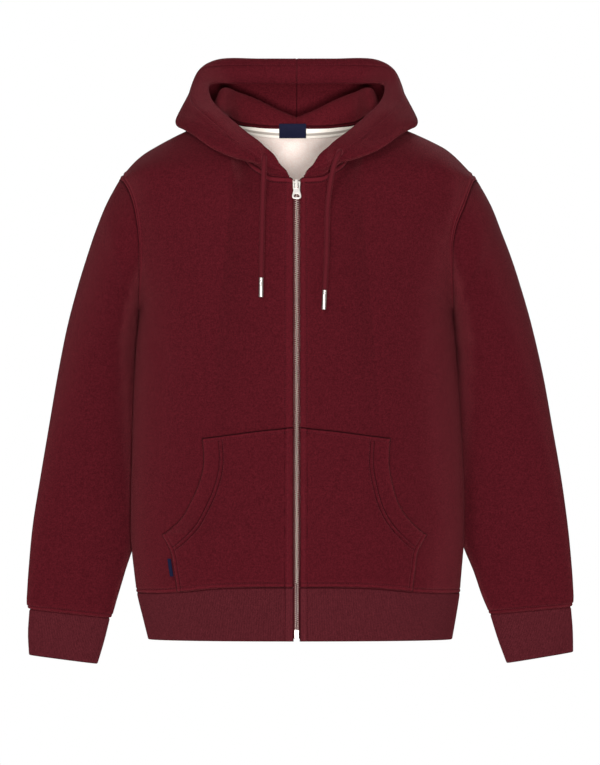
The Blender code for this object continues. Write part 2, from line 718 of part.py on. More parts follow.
def zip_head():
    """The slider at the top of the zip, and the pull that hangs in front of it.

    Both lie along the front, which leans back towards the neck, so they share a tilted empty
    on the pull's hinge line.
    """
    lower = float(body_at("front", HINGE_HEIGHT - SLIDER_BELOW))
    upper = float(body_at("front", HINGE_HEIGHT + SLIDER_ABOVE))
    lean = math.atan2(lower - upper, SLIDER_BELOW + SLIDER_ABOVE)
    head = bpy.data.objects.new("zip_head", None)
    head.location = (0, -float(body_at("front", HINGE_HEIGHT)) - HINGE_OUT, HINGE_HEIGHT)
    head.rotation_euler = (-lean, 0, 0)
    garment.objects.link(head)

    slider = block("zip_slider", SLIDER_PLATE)
    slider.parent = head
    place(slider, bright_metal)
    for name, sizes in SLIDER_BLOCKS.items():
        cut_or_join(slider, block(name, sizes), "UNION")
    pull = bpy.data.objects.new("zip_pull", pull_mesh())
    pull.parent = head
    place(pull, bright_metal)
    for name, sizes in PULL_HOLES.items():
        cut_or_join(pull, block(name, sizes), "DIFFERENCE")


def pull_mesh():
    """The flat outline of the pull, given its thickness either side of the hinge line."""
    half = list(zip(*PULL_OUTLINE.values()))
    loop = half + [(-across, height) for across, height in reversed(half)]
    bm = bmesh.new()
    corners = [bm.verts.new((across, -PULL_THICK / 2, height)) for across, height in loop]
    face = bm.faces.new(corners)
    grown = bmesh.ops.extrude_face_region(bm, geom=[face])["geom"]
    moved = [item for item in grown if isinstance(item, bmesh.types.BMVert)]
    bmesh.ops.translate(bm, vec=(0, PULL_THICK, 0), verts=moved)
    bmesh.ops.recalc_face_normals(bm, faces=bm.faces)
    mesh = bpy.data.meshes.new("zip_pull")
    bm.to_mesh(mesh)
    bm.free()
    return mesh


def zip_pieces():
    """Tapes behind the edges of the fronts, the closed chain between them, and the box."""
    for side in (-1, 1):
        ends = (side * TAPE_EDGE, side * (ZIP_EDGE + TAPE_WIDTH))
        name = "zip_tape_" + side_name(side)
        behind = RIB_WALL + 2 * SEAM_GAP
        zip_strip(name, ends, behind, TAPE_THICK, TAPE_TOP, TAPE_BOTTOM, maroon_twill)
    ends = (-CHAIN_WIDTH / 2, CHAIN_WIDTH / 2)
    zip_strip("zip_chain", ends, CHAIN_SUNK, CHAIN_THICK, CHAIN_TOP, CHAIN_BOTTOM, bright_metal)
    middle = CHAIN_BOTTOM - SEAM_GAP - BOX_LENGTH / 2
    front = -float(body_at("front", middle))
    stop = box("zip_box", (BOX_WIDTH, BOX_THICK, BOX_LENGTH), (0, front + BOX_SUNK, middle))
    place(stop, bright_metal)
    round_edges(stop)


def cord(side, route):
    """A free end of the drawcord with its metal tip."""
    name = side_name(side)
    points = np.array(route) * MM
    keys = np.arange(len(points))
    fine = curve_through(keys, points, np.linspace(0, keys[-1], 200))
    run = np.concatenate([[0], np.cumsum(np.linalg.norm(np.diff(fine, axis=0), axis=1))])
    count = int(run[-1] / (2 * CORD_DIAMETER)) + 1
    even = np.linspace(0, run[-1], count + 1)
    spaced = np.stack([np.interp(even, run, fine[:, axis]) for axis in range(3)], axis=-1)
    curve = bpy.data.curves.new(f"drawcord_{name}", "CURVE")
    curve.dimensions = "3D"
    curve.bevel_depth = CORD_DIAMETER / 2
    curve.bevel_resolution = 2
    curve.use_fill_caps = True
    line = curve.splines.new("POLY")
    line.points.add(len(spaced) - 1)
    for point, co in zip(line.points, spaced):
        point.co = (*co, 1)
    place(bpy.data.objects.new(f"drawcord_{name}", curve), fleece)

    way = Vector(spaced[-1] - spaced[-2]).normalized()
    middle = Vector(spaced[-1]) + way * (SEAM_GAP + TIP_LENGTH / 2)
    bpy.ops.mesh.primitive_cylinder_add(
        vertices=20, radius=TIP_DIAMETER / 2, depth=TIP_LENGTH, location=middle,
        rotation=Vector((0, 0, 1)).rotation_difference(way).to_euler(),
    )
    tip = place(bpy.context.object, bright_metal)
    tip.name = f"cord_tip_{name}"
    round_edges(tip)


for old in list(bpy.data.objects):
    bpy.data.objects.remove(old, do_unlink=True)
garment = bpy.data.collections.new("zip_up_hoodie")
helpers = bpy.data.collections.new("helpers")
bpy.context.scene.collection.children.link(garment)
bpy.context.scene.collection.children.link(helpers)

fleece = finish("fleece", MAROON, 0.95)
rib_cloth = finish("rib", RIB_MAROON, 0.95)
lining_cloth = finish("lining", MAROON, 0.95)
maroon_twill = finish("maroon_twill", MAROON, 0.8)
cream_twill = finish("cream_twill", CREAM, 0.8)
navy_weave = finish("navy_weave", NAVY, 0.7)
bright_metal = finish("bright_metal", SILVER, 0.3, 1.0)

neck_trim(*body_pieces())
hood_pieces()
for hand in (-1, 1):
    pocket(hand)
side_tab()
zip_pieces()
zip_head()
cord(-1, CORD_LEFT)
cord(1, CORD_RIGHT)
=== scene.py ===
"""A zip-up hoodie in maroon sweatshirt fleece, filled out as it is when worn.

Each cloth piece is a thin wall drawn over the form of its solid: fine rows and columns of
points, lifted and sunk along its seams, with its stitches as separate threads. Tables are in
millimetres and the scene is in metres. X is to the right as one looks at the front, Y runs
from the front to the back, Z is up. Left and right are those of somebody who looks at the front.
"""

import math
from functools import partial

import bmesh
import bpy
import numpy as np
from mathutils import Matrix, Vector
from mathutils.bvhtree import BVHTree


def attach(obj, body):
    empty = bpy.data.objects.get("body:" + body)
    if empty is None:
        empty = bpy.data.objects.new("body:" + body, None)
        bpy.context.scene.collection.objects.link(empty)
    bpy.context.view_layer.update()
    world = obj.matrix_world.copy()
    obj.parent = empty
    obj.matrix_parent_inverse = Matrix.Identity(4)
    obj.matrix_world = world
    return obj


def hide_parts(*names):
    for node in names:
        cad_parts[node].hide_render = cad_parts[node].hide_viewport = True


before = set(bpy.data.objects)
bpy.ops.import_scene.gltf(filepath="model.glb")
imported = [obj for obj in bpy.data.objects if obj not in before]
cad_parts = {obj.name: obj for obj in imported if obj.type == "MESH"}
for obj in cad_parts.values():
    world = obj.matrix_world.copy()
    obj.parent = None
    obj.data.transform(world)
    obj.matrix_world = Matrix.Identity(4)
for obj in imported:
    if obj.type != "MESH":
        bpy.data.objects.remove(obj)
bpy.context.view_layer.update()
MM = 0.001


# The camera looks level at the middle of the garment through a long lens, from so far off that
# the front shows almost no perspective. Room light is even, with soft lights high on the left,
# low in front and high behind.
SEEN_HEIGHT = 1032.8 * MM
CAMERA_DISTANCE = 11.0
CAMERA_AIM = Vector((4.5 * MM, 0, -341 * MM))
SENSOR = 36.0
ROOM_LIGHT = 0.5
FLOOR_HEIGHT = -1.05
FLOOR_SIZE = 3.4
FLOOR_DARK = (0.80, 0.80, 0.79)
FLOOR_LIGHT = (0.86, 0.86, 0.85)
LIGHTS = {
    "key_light": {"at": (-2.4, -5.4, 2.4), "size": 1.8, "watts": 170},
    "front_light": {"at": (0.3, -7.0, -1.1), "size": 1.4, "watts": 540},
    "back_light": {"at": (0.8, 3.8, 2.6), "size": 2.4, "watts": 130},
}
# A lower, narrower light reaches into the hood and the neck.
NECK_LIGHT = {"at": (-0.05, -1.9, 0.20), "aim": (0, 0.06, -0.01), "watts": 31}
NECK_LIGHT_ANGLE = 15
NECK_LIGHT_RADIUS = 0.12


def placed(name, data):
    """A new object in the scene."""
    made = bpy.data.objects.new(name, data)
    bpy.context.scene.collection.objects.link(made)
    return made


def hang_light(name, kind, at, aim, watts, **settings):
    """A light of this kind, which shines from one point towards another."""
    lamp = bpy.data.lights.new(name, kind)
    lamp.energy = watts
    for setting, value in settings.items():
        setattr(lamp, setting, value)
    holder = placed(name, lamp)
    holder.location = at
    holder.rotation_euler = (Vector(aim) - Vector(at)).to_track_quat("-Z", "Y").to_euler()


camera = placed("camera", bpy.data.cameras.new("camera"))
camera.location = CAMERA_AIM - Vector((0, CAMERA_DISTANCE, 0))
camera.rotation_euler = (math.radians(90), 0, 0)
camera.data.sensor_fit = "VERTICAL"
camera.data.sensor_height = SENSOR
camera.data.lens = SENSOR * CAMERA_DISTANCE / SEEN_HEIGHT
camera.data.clip_end = 60
bpy.context.scene.camera = camera
bpy.context.scene.view_settings.view_transform = "Standard"

world = bpy.data.worlds.new("white_room")
world.use_nodes = True
bpy.context.scene.world = world
room = world.node_tree.nodes["Background"]
room.inputs["Color"].default_value = (1, 1, 1, 1)
seen = world.node_tree.nodes.new("ShaderNodeLightPath")
brightness = world.node_tree.nodes.new("ShaderNodeMapRange")
brightness.inputs["To Min"].default_value = ROOM_LIGHT
brightness.inputs["To Max"].default_value = 1.0
world.node_tree.links.new(seen.outputs["Is Camera Ray"], brightness.inputs["Value"])
world.node_tree.links.new(brightness.outputs["Result"], room.inputs["Strength"])

for name, light in LIGHTS.items():
    hang_light(name, "AREA", aim=CAMERA_AIM, shape="DISK", **light)
hang_light(
    "neck_light", "SPOT", spot_size=math.radians(NECK_LIGHT_ANGLE), spot_blend=1.0,
    shadow_soft_size=NECK_LIGHT_RADIUS, **NECK_LIGHT,
)


# The free ends of the drawcord: a braided cotton tube that comes out of the hood's tunnel on
# each side of the neck and hangs down the front, each end clamped in a round metal tip.
CORD_DIAMETER = 6.8 * MM
CORD_SIDES = 24
CORD_STEP = 0.85 * MM
CORD_POINTS = 400  # along a route, before it is measured out in even steps
BRAID_STRANDS = 6
BRAID_PITCH = 3.4 * MM
BRAID_RELIEF = 0.14 * MM
# Each route starts just inside its eyelet.
CORD_ROUTES = {
    "left": (
        (-43.4, -94.6, -38.6), (-43.5, -98.6, -42.5), (-43.5, -101.2, -48),
        (-43.8, -102.4, -56), (-44.6, -103.8, -78), (-45.4, -108, -102),
        (-45.9, -112.6, -122), (-46.3, -117.8, -150), (-46.9, -121.2, -176),
        (-47.2, -122.6, -200.4),
    ),
    "right": (
        (58.6, -95.6, -31.4), (57.2, -100.6, -34), (55.4, -103.2, -37), (52.8, -105.2, -43),
        (49.2, -106.2, -54), (45.2, -106.4, -74), (42, -108.6, -100),
        (40.9, -113, -122), (40.5, -118, -150), (39.7, -121.4, -176),
        (38.5, -123, -200), (37.6, -123.6, -217),
    ),
}
TIP_GAP = 0.3 * MM
# Radius of the tip at each distance below its upper end.
TIP_PROFILE = (
    (0, 2.55), (0.25, 2.9), (0.7, 3.05), (2.4, 3.1), (2.8, 2.92), (3.2, 2.92), (3.6, 3.1),
    (5, 3.1), (5.4, 2.92), (5.8, 2.92), (6.2, 3.1), (15, 3.1), (25.2, 3.1), (26, 2.95),
    (26.5, 2.6), (26.6, 2),
)
TIP_SIDES = 32
CORD_DARK = (0.030, 0.0021, 0.0038)
CORD_LIGHT = (0.082, 0.0085, 0.0130)
CLOTH_GLOSS = 0.04
SHEEN_ROUGHNESS = 0.3
SHEEN_COLOUR = (1.0, 0.20, 0.23)
# How dark painted shade in the cloth's grooves makes it, as a share of its dark colour.
PAINTED_SHADE_DEPTH = 0.3
TIP_DARK = (0.36, 0.33, 0.30)
TIP_LIGHT = (0.64, 0.60, 0.56)


def add_node(tree, kind, inputs=None, **settings):
    """A node with its sockets set to values or linked from other sockets."""
    node = tree.nodes.new(kind)
    for name, value in settings.items():
        setattr(node, name, value)
    for name, value in (inputs or {}).items():
        if isinstance(value, bpy.types.NodeSocket):
            tree.links.new(value, node.inputs[name])
        else:
            node.inputs[name].default_value = value
    return node


def maths(tree, operation, *values):
    inputs = dict(enumerate(values))
    return add_node(tree, "ShaderNodeMath", inputs, operation=operation).outputs[0]


def ramp(tree, value, start, end):
    """A value from 0 to 1 as another runs from start to end."""
    inputs = {"Value": value, "From Min": start, "From Max": end}
    return add_node(tree, "ShaderNodeMapRange", inputs).outputs["Result"]


def noise(tree, scale, detail, roughness=0.5, where=None):
    """Noise from 0 to 1, in the object's own space or at the places given."""
    if where is None:
        where = add_node(tree, "ShaderNodeTexCoord").outputs["Object"]
    inputs = {"Vector": where, "Scale": scale, "Detail": detail, "Roughness": roughness}
    return add_node(tree, "ShaderNodeTexNoise", inputs).outputs["Fac"]


def new_group(name, inputs, outputs):
    """An empty node group with numbers for its inputs and outputs."""
    group = bpy.data.node_groups.new(name, "ShaderNodeTree")
    kind = "NodeSocketFloat"
    for socket, value in inputs.items():
        made = group.interface.new_socket(socket, in_out="INPUT", socket_type=kind)
        made.default_value = value
    for socket in outputs:
        group.interface.new_socket(socket, in_out="OUTPUT", socket_type=kind)
    return group, group.nodes.new("NodeGroupInput"), group.nodes.new("NodeGroupOutput")


def use_group(tree, group, **values):
    node = add_node(tree, "ShaderNodeGroup", node_tree=group)
    for name, value in values.items():
        node.inputs[name].default_value = value
    return node


def new_material(name, roughness, sheen=0.0, metallic=0.0, gloss=0.5):
    """A material whose Principled shader waits for its colour and bump."""
    material = bpy.data.materials.new(name)
    material.use_nodes = True
    shader = material.node_tree.nodes["Principled BSDF"]
    settings = {
        "Roughness": roughness, "Metallic": metallic, "Specular IOR Level": gloss,
        "Sheen Weight": sheen, "Sheen Roughness": SHEEN_ROUGHNESS, "Sheen Tint": (*SHEEN_COLOUR, 1),
    }
    for socket, value in settings.items():
        shader.inputs[socket].default_value = value
    return material, material.node_tree, shader


def bump(tree, shader, height, distance):
    """Feeds a height from 0 to 1 to the shader's normal, this many metres deep."""
    node = add_node(tree, "ShaderNodeBump", {"Height": height, "Distance": distance})
    tree.links.new(node.outputs["Normal"], shader.inputs["Normal"])


def blend_colours(tree, mask, first, second):
    """Mixes two colours, each a value or a socket, and gives the mixed socket."""
    mix = add_node(tree, "ShaderNodeMix", {"Factor": mask}, data_type="RGBA")
    # the first A and B of a Mix node are numbers, and its last ones are colours
    for socket, colour in ((mix.inputs[6], first), (mix.inputs[7], second)):
        if isinstance(colour, bpy.types.NodeSocket):
            tree.links.new(colour, socket)
        else:
            socket.default_value = (*colour, 1)
    return mix.outputs[2]


def tint(tree, shader, mask, dark, light, painted_shade=None):
    """Colours the shader between two colours, and darkens it with painted shade where a groove mask
    is given.
    """
    colour = blend_colours(tree, mask, dark, light)
    if painted_shade is not None:
        colour = blend_colours(tree, painted_shade, colour, [PAINTED_SHADE_DEPTH * part for part in dark])
    tree.links.new(colour, shader.inputs["Base Color"])


def spotted_material(name, dark, light, roughness, grain, depth, **finish):
    """A material that is uneven in small spots, in its colour and its surface."""
    material, tree, shader = new_material(name, roughness, **finish)
    spots = noise(tree, *grain)
    tint(tree, shader, spots, dark, light)
    bump(tree, shader, spots, depth)
    return material


def unit(vectors):
    """The vectors at length one."""
    return vectors / np.maximum(np.linalg.norm(vectors, axis=-1, keepdims=True), 1e-12)


def curve_through(keys, values, at):
    """Values on a smooth curve through the rows, at each key in at."""
    keys = np.asarray(keys, float)
    values = np.asarray(values, float)
    at = np.clip(np.asarray(at, float), keys[0], keys[-1])
    slopes = np.gradient(values, keys, axis=0)
    row = np.clip(np.searchsorted(keys, at) - 1, 0, len(keys) - 2)
    step = keys[row + 1] - keys[row]
    part = (at - keys[row]) / step
    step = step.reshape(step.shape + (1,) * (values.ndim - 1))
    part = part.reshape(step.shape)
    ease = part * part * (3 - 2 * part)
    return (
        values[row] * (1 - ease)
        + values[row + 1] * ease
        + slopes[row] * step * part * (1 - part) ** 2
        - slopes[row + 1] * step * part * part * (1 - part)
    )


def by_number(rows, at):
    """A smooth curve through rows of values, at row numbers that may lie between two rows."""
    return curve_through(np.arange(len(rows)), rows, at)


def curve_of(rows, count):
    """A smooth curve of this many points through all the rows."""
    return by_number(rows, np.linspace(0, len(rows) - 1, count))


def lengths_along(lines):
    """Distance of each point from the start of its line, for lines along the last but one axis."""
    run = np.linalg.norm(np.diff(lines, axis=-2), axis=-1).cumsum(axis=-1)
    return np.concatenate([np.zeros(run.shape[:-1] + (1,)), run], axis=-1)


def at_lengths(wanted, run, values):
    """The values that a line has at these distances from its start."""
    return np.stack([np.interp(wanted, run, column) for column in values.T], axis=-1)


def make_piece(name, points, faces, materials, uv=None, material_of_face=None, sharp=60):
    """An object from its points and faces, with a pair of cloth coordinates for each corner."""
    mesh = bpy.data.meshes.new(name)
    mesh.from_pydata(np.asarray(points).tolist(), [], faces)
    for material in materials:
        mesh.materials.append(material)
    if uv is not None:
        layer = mesh.uv_layers.new(name="cloth")
        layer.uv.foreach_set("vector", np.asarray(uv, np.float32).ravel())
    if material_of_face is not None:
        mesh.polygons.foreach_set("material_index", np.asarray(material_of_face, np.int32))
    mesh.update()
    mesh.shade_smooth()
    mesh.set_sharp_from_angle(angle=math.radians(sharp))
    return placed(name, mesh)


def garment_piece(piece, node):
    """A piece that rides with the garment and stands for a node."""
    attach(piece, "garment")
    if node:
        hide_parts(node)
    return piece


def grid_corners(rows, columns, closed):
    """Row and column of each corner of each face of a grid. A closed grid's last face runs to a
    column past the last one, which is the first one again."""
    last = columns if closed else columns - 1
    row, column = (a.ravel() for a in np.meshgrid(range(rows - 1), range(last), indexing="ij"))
    turns = ((0, 0), (0, 1), (1, 1), (1, 0))
    return np.stack([np.stack([row + r, column + c], axis=-1) for r, c in turns], axis=1)


def round_tube(name, line, radii, sides, material, relief=None, out=(0, -1, 0)):
    """A tube round a line, with its ends closed. out points away from the garment."""
    way = unit(np.gradient(line, axis=0))
    beside = unit(np.cross(out, way))
    front = np.cross(beside, way)
    angle = np.arange(sides) * 2 * math.pi / sides
    radius = np.broadcast_to(np.asarray(radii)[:, None], (len(line), sides))
    run = lengths_along(line)
    if relief is not None:
        radius = radius + relief(angle[None, :], run[:, None])
    ring = beside[:, None] * np.cos(angle)[:, None] + front[:, None] * np.sin(angle)[:, None]
    points = (line[:, None] + ring * radius[..., None]).reshape(-1, 3)
    corners = grid_corners(len(line), sides, True)[:, ::-1]
    faces = (corners[..., 0] * sides + corners[..., 1] % sides).tolist()
    uv = np.stack([corners[..., 1] * radii[0] * angle[1], run[corners[..., 0]]], axis=-1)
    faces += [list(range(sides)), list(range(len(points) - 1, len(points) - sides - 1, -1))]
    uv = np.concatenate([uv.reshape(-1, 2), np.zeros((2 * sides, 2))])
    return make_piece(name, points, faces, [material], uv)


def braid(angle, run):
    """Height of two sets of strands that wind opposite ways and cross."""
    turn = 2 * math.pi * run / BRAID_PITCH
    return BRAID_RELIEF * np.cos(BRAID_STRANDS * angle / 2 + turn / 2) * np.cos(
        BRAID_STRANDS * angle / 2 - turn / 2
    )


cord_cloth = spotted_material(
    "braided cotton", CORD_DARK, CORD_LIGHT, 0.9, (700.0, 3.0, 0.65), 0.25 * MM, sheen=0.16,
    gloss=CLOTH_GLOSS,
)
tip_metal, tree, shader = new_material("satin nickel", 0.34, metallic=1.0)
where = add_node(tree, "ShaderNodeTexCoord").outputs["Object"]
drawn = add_node(tree, "ShaderNodeMapping", {"Vector": where, "Scale": (900.0, 900.0, 40.0)})
brushed = noise(tree, 1.0, 2.0, where=drawn.outputs["Vector"])
tint(tree, shader, brushed, TIP_DARK, TIP_LIGHT)
bump(tree, shader, brushed, 0.03 * MM)

for name, route in CORD_ROUTES.items():
    fine = curve_of(np.array(route) * MM, CORD_POINTS)
    run = lengths_along(fine)
    even = np.linspace(0, run[-1], int(run[-1] / CORD_STEP))
    line = at_lengths(even, run, fine)
    radii = np.full(len(line), CORD_DIAMETER / 2)
    cord = round_tube(f"cord_{name}", line, radii, CORD_SIDES, cord_cloth, braid)
    way = unit(line[-1] - line[-2])
    down, radii = np.array(TIP_PROFILE).T * MM
    tip_line = line[-1] + way * (TIP_GAP + down[:, None])
    tip = round_tube(f"tip_{name}", tip_line, radii, TIP_SIDES, tip_metal)
    garment_piece(cord, f"drawcord_{name}")
    garment_piece(tip, f"cord_tip_{name}")


# The body: two fronts and a back of fleece, knitted smooth outside and brushed cream inside.
# They are sewn at the shoulders and sides, and overstitched along the armholes and the neck.
FLEECE_WALL = 2.0 * MM
SEAM_GAP = 0.3 * MM
ZIP_EDGE = 3.9 * MM
SIDE_POWER = 2.3
SIDE_ROUND = 2.0
ARMHOLE_ROUND = 1.25
EDGE_POWER = 8
SHOULDER_ROUND = 70 * MM
SHOULDER_EASE = 0.5
NECK_EASE = 1.0
RIB_SEAM_SIDE = -625 * MM
UNDERARM = -242 * MM
CHEST_LOW = -390 * MM
CHEST_HIGH = -180 * MM
SIDE_ROWS = 170
ARMHOLE_ROWS = 150
NECK_COLUMNS = 110
SHOULDER_COLUMNS = 100
CROWDED = 1.6  # how much the rows crowd towards the shoulder seam
HEM_CROWDED = 0.55  # how much of the columns' spacing at the hem crowds towards the side
FRONT_STEP = 4.8 * MM
BACK_STEP = 6.4 * MM
SQUEEZED = 0.8  # the most of a short line that the seams at its ends may take up
LONG_LINES = 85  # the percentile of the lines' lengths that the points' spacing is kept on


def table(columns, *rows):
    """Named columns of a table, in metres."""
    values = np.array(rows, float) * MM
    return dict(zip(columns.split(), values.T))


# Half widths of the body at its side seams, and its depth before and behind them.
BODY = table(
    "height left right front back",
    (-688, 200, 209.5, 98, 96),
    (-660, 207, 214.5, 101, 100),
    (-625, 215.5, 220, 105, 105),
    (-592, 220, 223, 108, 107),
    (-560, 223.3, 225.6, 109, 107),
    (-505, 224, 226.3, 110, 105),
    (-443, 222.6, 224.5, 112, 101),
    (-350, 220, 219, 116, 101),
    (-300, 217.5, 215.5, 118, 104),
    (-242, 213, 211, 119, 109),
    (-170, 211, 209, 117, 116),
    (-120, 211, 209, 108, 114),
    (-69, 211, 209, 91, 103),
    (-20, 211, 209, 60, 84),
    (14, 211, 209, 34, 62),
)

# The armhole, from the shoulder point to the underarm.
ARMHOLE = table(
    "height left right front back",
    (-67, 239, 243, 0, 0),
    (-72, 232.5, 238, 22, 24),
    (-86, 224.5, 232, 43, 46),
    (-106, 218, 224.5, 57, 61),
    (-130, 213.5, 214.5, 63, 67),
    (-155, 211, 209.5, 62, 66),
    (-180, 210.5, 209, 56, 60),
    (-205, 211, 209.5, 46, 49),
    (-226, 212, 210.5, 31, 33),
    (-238, 212.8, 211, 14, 15),
    (-242, 213, 211, 0, 0),
)

# Half of the neckline, across, back and up, from the zip by the shoulder seam to the middle of
# the back.
NECKLINE = np.array((
    (3.9, -91, -69), (10, -90.2, -65.6), (24, -89.2, -65), (38, -86.2, -62.6),
    (49, -79, -54), (64, -68, -43.5), (80, -48, -22.5), (90.8, -22, 4.5),
    (93, 4, 14), (86, 35, 10.5), (69, 54.5, 7.3), (47, 65, 5),
    (24, 70.3, 3.8), (0, 72, 3.5),
)) * MM
NECK_POINT = 8  # the row of the neckline where the shoulder seam starts

# The shoulder seam, across, back and up, from the neckline to the shoulder point.
SHOULDER = {
    "left": np.array(
        ((93, 4, 14), (139, 3, 2.5), (190, 2, -23), (216, 1, -41), (239, 0, -67))
    ) * MM,
    "right": np.array(
        ((93, 4, 14), (139, 3, 2.5), (187, 2, -18.5), (211, 1, -34), (243, 0, -67))
    ) * MM,
}
FACES = {"front": -1, "back": 1}  # which way along Y each of them faces

# The seam between the body and the rib, from the zip to the side seam.
RIB_SEAM = table(
    "across height", (0, -616), (60, -616), (110, -618), (150, -622), (190, -624.5), (226, -625)
)


def seam_profile(*rows):
    """How far cloth lies above its plain surface, at each distance from an edge."""
    return table("away height", *rows)


# Cloth that a profile sinks is painted darker, a painted shade, and cloth that it lifts is painted
# lighter, a painted highlight.
PLAIN_SEAM = seam_profile((0, -0.8), (0.5, -0.5), (1.2, -0.15), (2.4, 0.15), (6, 0))
STITCHED_SEAM = seam_profile(
    (0, -1.1), (0.5, -0.8), (1.1, -0.1), (1.9, 0.4), (3, 0.6), (4.2, 0.45), (4.9, 0),
    (5.9, -0.75), (6.9, 0), (7.8, 0.2), (11, 0),
)
# The armhole's overstitching presses a groove between two soft ridges.
ARMHOLE_SEAM = seam_profile(
    (0, -0.6), (1.5, 0.1), (3.6, 0.9), (5.4, 1), (6.8, 0.1), (7.8, -0.45), (8.8, 0.1),
    (10.4, 1), (12.2, 0.9), (14.4, 0.15), (18, 0),
)
NECK_SEAM = seam_profile(
    (0, -1.5), (0.7, -1), (1.5, 0), (2.4, 0.8), (4, 1.1), (6.2, 0.9), (7.3, 0),
    (8.4, -1), (9.5, 0), (10.6, 0.25), (15, 0),
)
ZIP_FOLD_START = ((0, -1.5), (0.4, -0.8), (1.0, -0.3), (2.0, 0.1))
ZIP_FOLDS = {
    "left": seam_profile(
        *ZIP_FOLD_START, (5, 0.4), (9.5, 0.35), (11.0, 0.05), (12.0, -0.55), (13.0, 0.05),
        (14, 0.15), (17, 0),
    ),
    "right": seam_profile(
        *ZIP_FOLD_START, (4.5, 0.4), (7.6, 0.35), (9.1, 0.05), (10.1, -0.55), (11.1, 0.05),
        (12, 0.15), (15, 0),
    ),
}

# Soft troughs and ridges in the cloth: where each starts and ends, how wide it is to either
# side, and how deep, with ridges below nought. Each is shallower at its ends.
CREASE_ENDS = 0.45
FRONT_CREASES = (
    ((-196, -92, -250), (-138, -118, -292), 15, 2.4),
    ((-203, -60, -268), (-166, -100, -345), 12, 1.8),
    ((-176, -108, -196), (-118, -124, -214), 17, 1.5),
    ((-150, -104, -470), (-196, -70, -560), 20, 1.6),
    ((-60, -118, -560), (-110, -108, -600), 14, 0.9),
    ((-92, -98, -116), (-150, -90, -150), 18, 1.2),
    ((196, -92, -246), (142, -118, -300), 14, 2.2),
    ((201, -62, -272), (170, -98, -338), 13, 2),
    ((178, -106, -200), (126, -122, -226), 16, 1.4),
    ((158, -102, -480), (204, -66, -570), 22, 1.7),
    ((90, -112, -545), (128, -104, -598), 15, 1.2),
    ((84, -98, -110), (146, -90, -142), 20, 1.2),
    ((40, -120, -330), (88, -118, -350), 34, 0.9),
    ((-44, -120, -360), (-100, -116, -330), 36, 0.9),
)
BACK_CREASES = (
    ((-198, 84, -236), (-130, 112, -268), 16, 2.6),
    ((-204, 60, -262), (-160, 96, -330), 13, 1.9),
    ((-60, 112, -180), (64, 112, -176), 30, 1.6),
    ((-120, 104, -560), (-40, 108, -585), 20, 1.4),
    ((-10, 103, -470), (90, 101, -500), 34, 1.8),
    ((200, 84, -240), (136, 112, -276), 15, 2.3),
    ((204, 58, -266), (168, 92, -346), 14, 2),
    ((40, 108, -570), (128, 100, -548), 18, 1.5),
    ((-150, 96, -420), (-96, 102, -455), 26, 1.3),
)

# How much of the wall the inside rises at a folded edge, and how soon it settles, in walls.
FOLD_ROUND = 0.42
FOLD_REACH = 0.3
RIDGE_RADIUS = 1.5 * MM
RIDGE_INSIDE = 0.1 * MM
RIDGE_STEP = 2.0 * MM
RIDGE_LOOP = 4.0 * MM
RIDGE_UNEVEN = 0.08
RIDGE_SIDES = 10
STITCH_PITCH = 3.0 * MM
STITCH_LENGTH = 2.35 * MM
THREAD = 0.38 * MM
STITCH_SIDES = 4
# One stitch of thread is a bent bar whose ends dip into the cloth: how far along it each ring of
# points lies, in lengths, and how high and how thick it is there, in thread radii.
STITCH_RINGS = (
    (-0.5, -0.7, 0.45), (-0.36, 0.35, 0.95), (0, 0.6, 1), (0.36, 0.35, 0.95), (0.5, -0.7, 0.45)
)
FLEECE_DARK = (0.030, 0.0016, 0.0034)
FLEECE_LIGHT = (0.086, 0.0072, 0.0120)
BRUSHED_DARK = (0.92, 0.73, 0.65)
BRUSHED_LIGHT = (0.99, 0.90, 0.84)
THREAD_DARK = (0.055, 0.0050, 0.0085)
THREAD_LIGHT = (0.120, 0.0160, 0.0230)


def cloth_places(tree):
    """Distances along the cloth's rows and columns, and both as a vector."""
    places = add_node(tree, "ShaderNodeUVMap", uv_map="cloth").outputs["UV"]
    flat = add_node(tree, "ShaderNodeSeparateXYZ", {"Vector": places})
    return flat.outputs["X"], flat.outputs["Y"], places


# Each column of loops is a pair of legs that lean together, and the loops follow one another.
knit_group, knit_in, knit_out = new_group(
    "smooth knit", {"Wale": 1.05, "Course": 0.8}, ("Height", "Shade", "Painted Shade")
)
work = partial(maths, knit_group)
across, along, _ = cloth_places(knit_group)
across = work("DIVIDE", across, work("MULTIPLY", knit_in.outputs["Wale"], MM))
along = work("DIVIDE", along, work("MULTIPLY", knit_in.outputs["Course"], MM))
leg = work("PINGPONG", across, 0.5)
leg_height = work("SINE", work("MULTIPLY", leg, 2 * math.pi))
loop = work("COSINE", work("MULTIPLY", work("ADD", along, leg), 2 * math.pi))
stitch_height = work("MULTIPLY", leg_height, work("MULTIPLY_ADD", loop, 0.3, 0.7))
fibre = noise(knit_group, 520.0, 4.0, 0.7)
heather = noise(knit_group, 240.0, 3.0, 0.6)
uneven = ramp(knit_group, work("MULTIPLY_ADD", heather, 0.22, fibre), 0.47, 0.76)
# The relief attribute is how far the cloth's outside lies above its plain surface, in millimetres.
# Where it sinks, the third output darkens the colour, a painted shade in the grooves of seams and
# edges; where it rises, the shade is lifted, a painted highlight on their ridges.
relief = add_node(knit_group, "ShaderNodeAttribute", attribute_name="relief").outputs["Fac"]
shade = work("MULTIPLY_ADD", stitch_height, 0.3, work("MULTIPLY", uneven, 0.62))
for socket, value in (
    ("Painted Shade", ramp(knit_group, relief, -0.12, -0.75)),
    ("Shade", work("MULTIPLY_ADD", work("MAXIMUM", relief, 0.0), 0.5, shade)),
    ("Height", work("MULTIPLY_ADD", fibre, 0.9, stitch_height)),
):
    knit_group.links.new(value, knit_out.inputs[socket])


